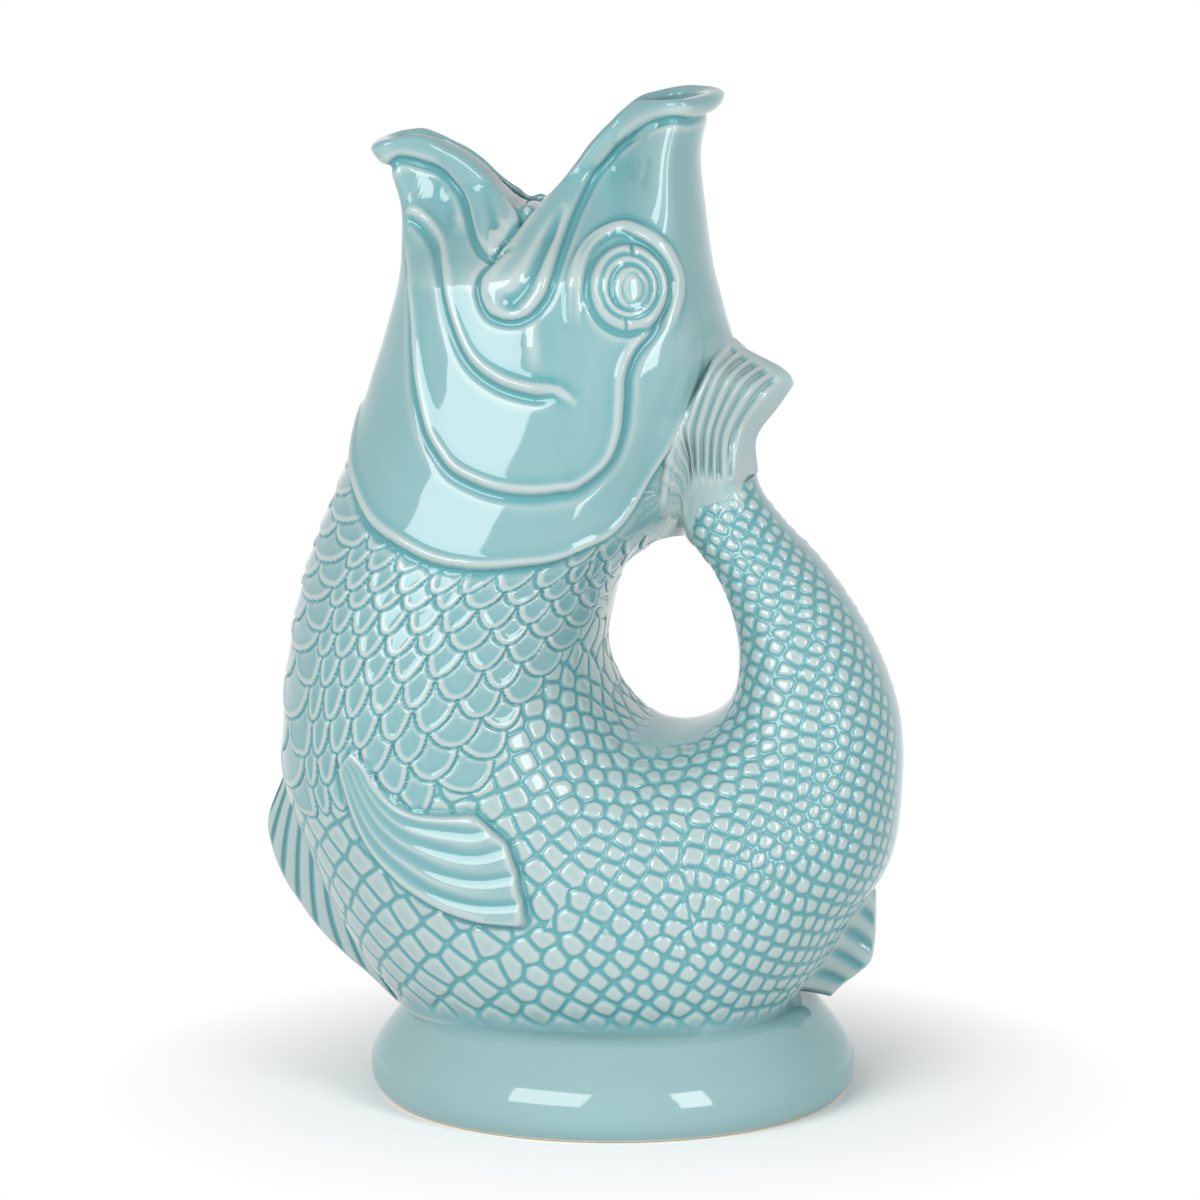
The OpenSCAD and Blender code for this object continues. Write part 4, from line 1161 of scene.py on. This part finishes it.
class JUG_OT_head(bpy.types.Operator):
    """Make the head, from the scales behind the gills to the rolled lips"""
    bl_idname = "jug.head"
    bl_label = "Head"

    def execute(self, context):
        cell = settings().skin.head_cell / MM
        angles = even_angles(np.linspace(*HEAD_SECTIONS, 9), cell)
        count = COARSER * int(round(HEAD_LENGTH / cell / COARSER))
        split = COARSER * int(count * THROAT_SHARE / COARSER)
        t = np.linspace(0, 1, count + 1)[:, None]
        us = HEAD_END + (mouth_at(angles)[None, :] - HEAD_END) * t
        # from the mouth down to the scales
        near = [v[::-1] for v in skin_points(with_halo(us), angles)]
        us = us[::-1]
        low, high = slice(count - split, count + 1), slice(0, count - split + 1)
        ring_shell("throat_skin", us[low], angles, [v[low] for v in near],
                   ["gill_cover_left", "gill_cover_right"])
        self.mouth(us[high], angles, *(v[high] for v in near))
        return {"FINISHED"}

    def mouth(self, us, angles, points, normals, pools):
        """Outer skin, rounded rim and inner skin, as one closed loop of rows."""
        wall = settings().skin.wall / MM
        fine_in = us[::COARSER // 2]
        aa = np.repeat(angles[None, :], len(fine_in), axis=0)
        inner = skin(fine_in, aa, wall, INNER_FLOOR)
        meet = smooth(*SADDLE_GROWS, aa) * (1 - smooth(*SADDLE_ENDS, aa))
        meet *= 1 - smooth(*SADDLE_FADES, fine_in - mouth_at(aa))
        inner[..., 1] *= 1 - SADDLE_CLOSES * meet
        up = unit(skin(us[0], angles) - skin(us[0] + 0.2, angles))
        turns = np.radians(np.linspace(0, 180, RIM_STEPS)[1:-1])[:, None, None]
        out, into = points[0][None], inner[0][None]
        thick = np.minimum(np.linalg.norm(out - into, axis=-1, keepdims=True), wall) * RIM_HEIGHT
        rim = mix(out, into, (1 - np.cos(turns)) / 2) + up[None] * np.sin(turns) * thick
        rim_n = unit(normals[0][None] * np.cos(turns) + up[None] * np.sin(turns))
        ring = whole_ring(np.concatenate([points[::-1], rim, inner]))
        norms = whole_ring(np.concatenate([normals[::-1], rim_n, -skin_normal(fine_in, aa)]))
        count, n = ring.shape[:2]
        last = (count - 1) * n
        j = np.arange(n)
        k = (j + 1) % n
        quads = np.concatenate([grid_faces(0, count, n), np.stack([last + k, last + j, j, k], -1)])
        pairs = [part + side for part in ("eye_ring", "eyeball", "cheek_plate")
                 for side in ("_left", "_right")]
        make_piece("head_skin", [ring], [norms], whole_ring(pools[::-1], (1,)), [quads[:, ::-1]], [],
                   ["head_shell", "upper_lip", "lower_lip"] + pairs)


RINGS = [
    ("neck_skin", 8.0, 10.0, ["trunk_shell"]),
    ("breast_skin", 10.0, 12.0, ["side_fin_left", "side_fin_right"]),
    ("belly_skin", 12.0, 14.0, ["belly_shell"]),
    ("underbelly_skin", 14.0, 17.6, []),
    ("rump_skin", 17.6, 20.5, []),
    ("tail_skin", 20.5, 27.62, ["tail_handle"]),
]


class JUG_OT_body(bpy.types.Operator):
    """Make the scaled body, ring by ring from the neck to the tail"""
    bl_idname = "jug.body"
    bl_label = "Body"

    def execute(self, context):
        cell = settings().skin.cell / MM
        for name, low, high, nodes in RINGS:
            angles = even_angles(np.linspace(low, high, 9), cell)
            rows = np.repeat(even_rows(low, high, cell)[:, None], len(angles), axis=1)
            near = skin_points(np.clip(with_halo(rows), 0, TAIL_END), angles)
            ring_shell(name, rows, angles, near, nodes)
        return {"FINISHED"}


# Foot, round its section from the outer edge on the ground up, over and back down inside it:
# share of the way round, share of the radius, share of the height
FOOT_PROFILE = [(0.00, 0.930, 0.000), (0.03, 0.952, 0.015), (0.07, 0.974, 0.070),
                (0.11, 0.991, 0.140), (0.15, 0.999, 0.220), (0.19, 1.000, 0.300),
                (0.24, 0.995, 0.400), (0.29, 0.980, 0.500), (0.34, 0.956, 0.600),
                (0.39, 0.926, 0.700), (0.44, 0.893, 0.800), (0.49, 0.862, 0.890),
                (0.53, 0.834, 0.950), (0.57, 0.800, 0.985), (0.62, 0.750, 0.998),
                (0.68, 0.690, 0.999), (0.73, 0.620, 0.990), (0.78, 0.640, 0.860),
                (0.83, 0.740, 0.700), (0.88, 0.800, 0.500), (0.93, 0.840, 0.220),
                (0.97, 0.855, 0.000), (1.00, 0.930, 0.000)]
BARE_CLAY_HEIGHT = 0.7
FOOT_SEGMENTS, FOOT_RINGS = 289, 161
CLAY_DARK, CLAY_LIGHT, CLAY_GRAIN, CLAY_ROUGHNESS = "#D9CBB4", "#EADFCB", 2500.0, 0.85


def foot_tree(glaze, clay):
    """Nodes that turn the section of the foot round its axis. The glaze is wiped off the lowest
    edge, so that the jug doesn't stick to the kiln shelf."""
    tree = bpy.data.node_groups.new("turned foot", "GeometryNodeTree")
    tree.interface.new_socket("Geometry", in_out="OUTPUT", socket_type="NodeSocketGeometry")
    for name, kind in (("Radius", "Float"), ("Height", "Float"), ("Bare", "Float"),
                       ("Segments", "Int")):
        tree.interface.new_socket(name, in_out="INPUT", socket_type="NodeSocket" + kind)
    sizes = add_node(tree, "NodeGroupInput").outputs
    grid = add_node(tree, "GeometryNodeMeshGrid", {"Size X": 1, "Size Y": 1, "Vertices Y": FOOT_RINGS},
                    Vertices_X=sizes["Segments"])
    place = add_node(tree, "ShaderNodeSeparateXYZ", Vector=add_node(
        tree, "GeometryNodeInputPosition").outputs["Position"])

    def profile(column):
        node = add_node(tree, "ShaderNodeFloatCurve",
                        Value=maths(tree, "ADD", place.outputs["Y"], 0.5))
        points = node.mapping.curves[0].points
        while len(points) < len(FOOT_PROFILE):
            points.new(0.5, 0.5)
        for point, row in zip(points, FOOT_PROFILE):
            point.location = row[0], row[column]
        node.mapping.update()
        return node.outputs["Value"]

    turn = maths(tree, "MULTIPLY", maths(tree, "ADD", place.outputs["X"], 0.5), 2 * math.pi)
    out = maths(tree, "MULTIPLY", profile(1), sizes["Radius"])
    up = profile(2)
    x, y = (maths(tree, "MULTIPLY", out, maths(tree, way, turn, 0)) for way in ("COSINE", "SINE"))
    point = add_node(tree, "ShaderNodeCombineXYZ", X=x, Y=y,
                     Z=maths(tree, "MULTIPLY", up, sizes["Height"]))
    moved = add_node(tree, "GeometryNodeSetPosition", Geometry=grid.outputs["Mesh"],
                     Position=point.outputs["Vector"])
    # glaze runs down the body and gathers on the shoulder of the foot
    pooled = add_node(tree, "ShaderNodeMapRange", {
        "From Min": 0.84, "From Max": 0.99, "To Min": -0.05, "To Max": 0.11}, Value=up)
    stored = add_node(tree, "GeometryNodeStoreNamedAttribute", {"Name": "pool"},
                      Geometry=moved.outputs["Geometry"], Value=pooled.outputs["Result"])
    whole = add_node(tree, "GeometryNodeMergeByDistance", {"Distance": 1e-5},
                     Geometry=stored.outputs["Geometry"])
    soft = add_node(tree, "GeometryNodeSetShadeSmooth", Geometry=whole.outputs["Geometry"])
    real = add_node(tree, "GeometryNodeRealizeInstances", Geometry=soft.outputs["Geometry"])
    dipped = add_node(tree, "GeometryNodeSetMaterial", {"Material": glaze},
                      Geometry=real.outputs["Geometry"])
    height = add_node(tree, "ShaderNodeSeparateXYZ", Vector=add_node(
        tree, "GeometryNodeInputPosition").outputs["Position"])
    wiped = add_node(tree, "GeometryNodeSetMaterial", {"Material": clay},
                     Geometry=dipped.outputs["Geometry"],
                     Selection=maths(tree, "LESS_THAN", height.outputs["Z"], sizes["Bare"]))
    add_node(tree, "NodeGroupOutput", Geometry=wiped.outputs["Geometry"])
    return tree


def clay_material():
    """White earthenware, fired dry where the glaze was wiped off: matt, cream and a little
    grainy."""
    material = bpy.data.materials.new("bare white earthenware")
    material.use_nodes = True
    tree = material.node_tree
    base = tree.nodes["Principled BSDF"]
    base.inputs["Roughness"].default_value = CLAY_ROUGHNESS
    place = add_node(tree, "ShaderNodeTexCoord")
    grain = add_node(tree, "ShaderNodeTexNoise", {"Scale": CLAY_GRAIN, "Detail": 2.0},
                     Vector=place.outputs["Object"])
    tone = add_node(tree, "ShaderNodeMix", {"data_type": "RGBA"})
    tree.links.new(grain.outputs["Fac"], tone.inputs["Factor"])
    colours = [socket for socket in tone.inputs if socket.type == "RGBA"]
    for socket, colour_text in zip(colours, (CLAY_DARK, CLAY_LIGHT)):
        socket.default_value = (*srgb(colour_text), 1)
    result = [socket for socket in tone.outputs if socket.type == "RGBA"][0]
    tree.links.new(result, base.inputs["Base Color"])
    return material


class JUG_OT_foot(bpy.types.Operator):
    """Make the round spreading foot with its bare clay edge"""
    bl_idname = "jug.foot"
    bl_label = "Foot"

    def execute(self, context):
        mesh = bpy.data.meshes.new("foot")
        obj = bpy.data.objects.new("foot", mesh)
        context.scene.collection.objects.link(obj)
        tree = foot_tree(glaze_material(), clay_material())
        modifier = obj.modifiers.new("turned foot", "NODES")
        modifier.node_group = tree
        values = {"Radius": FOOT_R * MM, "Height": FOOT_H * MM, "Bare": BARE_CLAY_HEIGHT * MM,
                  "Segments": FOOT_SEGMENTS}
        for item in tree.interface.items_tree:
            if item.in_out == "INPUT":
                modifier[item.identifier] = values[item.name]
        turned = obj.evaluated_get(context.evaluated_depsgraph_get())
        obj.data = bpy.data.meshes.new_from_object(turned)
        obj.modifiers.clear()
        if not obj.data.polygons:
            raise RuntimeError("the foot's nodes made no faces")
        finish(obj, "glaze", "pedestal_foot")
        return {"FINISHED"}


BELLY_FIN_U = [10.8, 11.2, 11.55, 11.9, 12.25, 12.6, 13.0, 13.4, 13.8]
BELLY_FIN_PX = [(285, 772), (269, 815), (272, 845), (284, 876), (300, 901), (319, 927), (345, 953),
                (370, 974), (401, 1004)]
ANAL_FIN_U = [19.5, 19.25, 18.95, 18.6, 18.3, 18.0, 17.75]
ANAL_FIN_PX = [(876, 892), (876, 916), (875, 938), (871, 960), (858, 973), (843, 984), (831, 996)]


# Free fins. Half thickness of a leaf at its edge, how much more inside its rounding, the width of
# that, the growth per millimetre from the edge, and the swelling at the root and its reach
LEAF_EDGE, LEAF_MORE, LEAF_ROUND, LEAF_GROWTH, ROOT_MORE, ROOT_REACH = 0.35, 1.3, 1.6, 0.12, 3.2, 2.2
KEEL_POINTS, KEEL_BURIED, KEEL_GROOVE, KEEL_CUT, KEEL_TINT = (110, 260), 0.35, 1.45, 0.75, 0.16
KEEL_ENDS, KEEL_END_SHARE = 0.5, 0.4
# Tail fin: grooves by place on FAN_ROOT, from the leaf's foot and from its ridge
# The tail fin's glaze colour is shifted paler all over: painted light, standing in for the stronger light
# that falls on the fin
FAN_POINTS, FAN_CUT, FAN_PAINTED_LIGHT, FAN_GROOVED, FAN_GROOVE = (170, 220), 1.3, 0.12, (0.9, 11), (0.1, 0.38)
FAN_GROWS, FAN_RIDGE_CLEAR, FAN_SHALLOWS, FAN_SHALLOW = (0.31, 0.38), (3.0, 6.5), (6.0, 7.5), 0.4


class JUG_OT_fins(bpy.types.Operator):
    """Make the ribbed fins that stand free: the tail fin, the belly fin and the fin behind it"""
    bl_idname = "jug.fins"
    bl_label = "Fins"

    def execute(self, context):
        s = settings().fins
        self.ray = s.ray_depth / MM
        self.fan()
        # grown by the shares of the heights that the photograph shows
        self.keel("belly_fin", BELLY_FIN_U, BELLY_FIN_PX, 8, 1.5, s.belly_fin / MM / 8.5)
        self.keel("anal_fin", ANAL_FIN_U, ANAL_FIN_PX, 5, 0, s.anal_fin / MM / 7.5)
        return {"FINISHED"}

    def fan(self):
        """The tail fin: a closed leaf whose two sides meet in a ridge."""
        rows, cols = FAN_POINTS
        half = fan_sheet(rows, cols)
        t = np.linspace(0, len(FAN_ROOT) - 1, cols)
        normal = grid_normals(mirrored(half))[:, HALO:-HALO]
        far = np.linalg.norm(half - half[-1:], axis=-1)
        beside = (t < FAN_GROOVED[0]) | (t > FAN_GROOVED[1])
        groove = np.where(beside, 0, smooth(*FAN_GROOVE, np.abs(t - np.round(t))))
        live = smooth(*FAN_GROWS, np.linspace(0, 1, rows)[:, None]) * smooth(*FAN_RIDGE_CLEAR, far)
        live *= mix(1.0, FAN_SHALLOW, smooth(*FAN_SHALLOWS, t))[None, :]
        lift = relief().swell(half, relief().head_near) - FAN_CUT * self.ray * groove[None, :] * live
        half = half + normal * lift[..., None]
        half[:, [0, -1], 1] = 0
        half[-1, 1:-1, 1] = -0.1
        normal = grid_normals(mirrored(half))[:, HALO:-HALO]
        pools = pooling(half, normal)
        ring, norms = whole_ring(half), whole_ring(normal)
        count = ring.shape[1]
        j = np.arange(1, cols - 2)
        last = (rows - 1) * count
        quads = [grid_faces(0, rows, count),
                 np.stack([last + j, last + j + 1, last + count - j - 1, last + count - j], -1)]
        ends = [[last, last + 1, last + count - 1],
                [last + cols - 2, last + cols - 1, last + cols], list(range(count))[::-1]]
        if normal[rows // 2, cols // 5, 1] > 0:
            quads, ends = [q[:, ::-1] for q in quads], [e[::-1] for e in ends]
            norms, pools = -norms, -pools
        # the whole fin's colour is moved towards the thin, pale glaze: painted light on the fin
        make_piece("tail_fin_leaf", [ring], [norms], whole_ring(pools[..., None], (1,)) - FAN_PAINTED_LIGHT,
                   quads, ends, ["tail_fin"])

    def keel(self, name, us, edge_px, rays, slant, grown):
        """A fin on the outer line: a leaf of broad round rays, thickening where it grows out.
        The grooves between rays slant by so many table places from the body to the edge."""
        us = np.array(us)
        rows, cols = KEEL_POINTS
        base = skin(us, np.zeros(len(us)))
        edge = mix(base, at_depth([(x, y, 0) for x, y in edge_px]), grown)
        along = np.linspace(0, len(us) - 1, cols)
        low, high = row_at(base, along), row_at(edge, along)
        share = np.linspace(-KEEL_BURIED, 1, rows)[:, None]
        leaf = mix(low[None], high[None], share[..., None])
        stand = np.linalg.norm(high - low, axis=-1)[None, :]
        left, above = np.maximum((1 - share) * stand, 0), np.maximum(share * stand, 0)
        half = LEAF_EDGE + LEAF_MORE * np.sqrt(1 - (1 - np.clip(left / LEAF_ROUND, 0, 1)) ** 2)
        half = half + LEAF_GROWTH * left + ROOT_MORE * np.exp(-above / ROOT_REACH)
        ends = smooth(0, KEEL_ENDS, along) * smooth(0, KEEL_ENDS, len(us) - 1 - along)
        half *= mix(KEEL_END_SHARE, 1, ends[None, :])
        place = (along[None, :] - slant * (share - 1)) * rays / (len(us) - 1)
        pitch = np.linalg.norm(np.diff(high, axis=0), axis=1).sum() / rays
        groove = bump(np.abs(place - np.round(place)) * pitch, KEEL_GROOVE)
        groove *= smooth(0.1, 1.2, left) * smooth(-0.5, 1.5, above)
        near = leaf.copy()
        near[..., 1] = KEEL_CUT * self.ray * groove - half
        normal = grid_normals(near)
        turned = normal[..., 1].mean() > 0
        normal *= -np.sign(normal[..., 1:2] + 1e-9)
        pools = 0.5 * pooling(near, normal) + mix(-KEEL_TINT, KEEL_TINT, groove)
        if turned:
            near, normal, pools = near[:, ::-1], normal[:, ::-1], pools[:, ::-1]
        mirror = [1, -1, 1]
        i, j = np.meshgrid(np.arange(rows - 1), np.arange(cols - 1), indexing="ij")
        a = (i * cols + j).ravel()
        face = np.stack([a, a + cols, a + cols + 1, a + 1], -1)
        first = rows * cols
        # round the four edges of the sheet
        rim = np.concatenate([np.arange(cols), np.arange(2, rows + 1) * cols - 1,
                              np.arange(cols - 2, -1, -1) + (rows - 1) * cols,
                              np.arange(rows - 2, 0, -1) * cols])
        after = np.roll(rim, -1)
        side = np.stack([rim, after, after + first, rim + first], -1)
        make_piece(name + "_leaf", (near, near * mirror), (normal, normal * mirror), pools,
                   [face, face[:, ::-1] + first, side], [], [name])


PHOTO_PX, SENSOR = 1200, 36
# Name, place and size in metres, and share of the lamp power
SOFTBOXES = [("left softbox", (-0.60, -1.30, 0.78), (1.0, 0.85), 1.15),
             ("right softbox", (1.12, -1.05, 0.62), (0.45, 1.0), 0.72)]
LAMPS_AIM = (0, 0, 0.12)
# Half the floor's side, the distances between which it turns from lit paper to plain white, and
# the strength of the surround where it lights the jug
FLOOR_SIDE, FLOOR_FADES, SURROUND_LIGHT = 6.0, (0.06, 0.13), 0.38


class JUG_OT_stage(bpy.types.Operator):
    """Set up the camera, floor, softboxes and white surround"""
    bl_idname = "jug.stage"
    bl_label = "Stage"

    def execute(self, context):
        scene = context.scene
        scene.view_settings.view_transform = "Standard"
        data = bpy.data.cameras.new("camera")
        data.sensor_width = SENSOR
        data.lens = FOCAL_PX * SENSOR / PHOTO_PX
        data.shift_x = 0.5 - MIDDLE_PX[0] / PHOTO_PX
        data.shift_y = MIDDLE_PX[1] / PHOTO_PX - 0.5
        data.clip_end = 20
        camera = bpy.data.objects.new("camera", data)
        scene.collection.objects.link(camera)
        turn = np.stack([RIGHT, UP, -FORWARD, CAMERA * MM], -1).tolist()
        camera.matrix_world = Matrix(turn + [[0, 0, 0, 1]])
        scene.camera = camera
        self.floor()
        for lamp in SOFTBOXES:
            self.softbox(*lamp)
        self.surround(scene)
        return {"FINISHED"}

    def floor(self):
        mesh = bpy.data.meshes.new("studio floor")
        corners = [(x * FLOOR_SIDE, y * FLOOR_SIDE, 0)
                   for x, y in ((-1, -1), (1, -1), (1, 1), (-1, 1))]
        mesh.from_pydata(corners, [], [(0, 1, 2, 3)])
        material = bpy.data.materials.new("white paper floor")
        material.use_nodes = True
        tree = material.node_tree
        tree.nodes.clear()
        out = add_node(tree, "ShaderNodeOutputMaterial")
        near = add_node(tree, "ShaderNodeBsdfDiffuse", {"Color": (*settings().stage.floor, 1)})
        far = add_node(tree, "ShaderNodeEmission", {"Color": (*settings().stage.floor, 1)})
        place = add_node(tree, "ShaderNodeTexCoord")
        away = add_node(tree, "ShaderNodeVectorMath", {"operation": "LENGTH"})
        tree.links.new(place.outputs["Object"], away.inputs[0])
        share = add_node(tree, "ShaderNodeMapRange", dict(zip(("From Min", "From Max"), FLOOR_FADES)),
                         Value=away.outputs["Value"])
        both = add_node(tree, "ShaderNodeMixShader", Fac=share.outputs["Result"])
        tree.links.new(near.outputs[0], both.inputs[1])
        tree.links.new(far.outputs[0], both.inputs[2])
        tree.links.new(both.outputs[0], out.inputs["Surface"])
        mesh.materials.append(material)
        obj = bpy.data.objects.new("studio floor", mesh)
        bpy.context.scene.collection.objects.link(obj)

    def softbox(self, name, place, size, share):
        data = bpy.data.lights.new(name, "AREA")
        data.shape = "RECTANGLE"
        data.size, data.size_y = size
        data.energy = settings().stage.lamp_power * share
        lamp = bpy.data.objects.new(name, data)
        bpy.context.scene.collection.objects.link(lamp)
        lamp.location = place
        lamp.rotation_euler = (Vector(LAMPS_AIM) - Vector(place)).to_track_quat("-Z", "Y").to_euler()

    def surround(self, scene):
        world = bpy.data.worlds.new("white surround")
        world.use_nodes = True
        tree = world.node_tree
        back = tree.nodes["Background"]
        back.inputs["Color"].default_value = (1, 1, 1, 1)
        # plain white to the eye and in reflections, softer as a light
        path = add_node(tree, "ShaderNodeLightPath").outputs
        seen = path["Is Camera Ray"]
        for kind in ("Is Glossy Ray", "Is Transmission Ray"):
            seen = maths(tree, "MAXIMUM", seen, path[kind])
        level = add_node(tree, "ShaderNodeMapRange", {"To Min": SURROUND_LIGHT, "To Max": 1.0},
                         Value=seen)
        tree.links.new(level.outputs["Result"], back.inputs["Strength"])
        scene.world = world


class JUG_PT_panel(bpy.types.Panel):
    """Buttons that build the jug"""
    bl_idname = "JUG_PT_panel"
    bl_label = "Gurgle jug"
    bl_space_type = "VIEW_3D"
    bl_region_type = "UI"
    bl_category = "Jug"

    def draw(self, context):
        for name in ("head", "body", "foot", "fins", "stage"):
            self.layout.operator("jug." + name)


class JugSettings(bpy.types.PropertyGroup):
    glaze: PointerProperty(type=GlazeSettings, name="Glaze", description="Colours of the glaze")
    skin: PointerProperty(type=SkinSettings, name="Skin", description="Fineness and wall")
    scales: PointerProperty(type=ScaleSettings, name="Scales", description="Carved scales")
    head: PointerProperty(type=HeadSettings, name="Head", description="Plates and lips")
    fins: PointerProperty(type=FinSettings, name="Fins", description="Ribbed fins")
    stage: PointerProperty(type=StageSettings, name="Stage", description="Floor and lamps")


CLASSES = (GlazeSettings, SkinSettings, ScaleSettings, HeadSettings, FinSettings, StageSettings,
           JugSettings, JUG_OT_head, JUG_OT_body, JUG_OT_foot, JUG_OT_fins, JUG_OT_stage, JUG_PT_panel)


def register():
    for item in CLASSES:
        bpy.utils.register_class(item)
    bpy.types.Scene.jug = PointerProperty(type=JugSettings)


def unregister():
    del bpy.types.Scene.jug
    for item in reversed(CLASSES):
        bpy.utils.unregister_class(item)


def main():
    register()
    for name in ("stage", "head", "body", "foot", "fins"):
        getattr(bpy.ops.jug, name)()


if __name__ == "__main__":
    main()
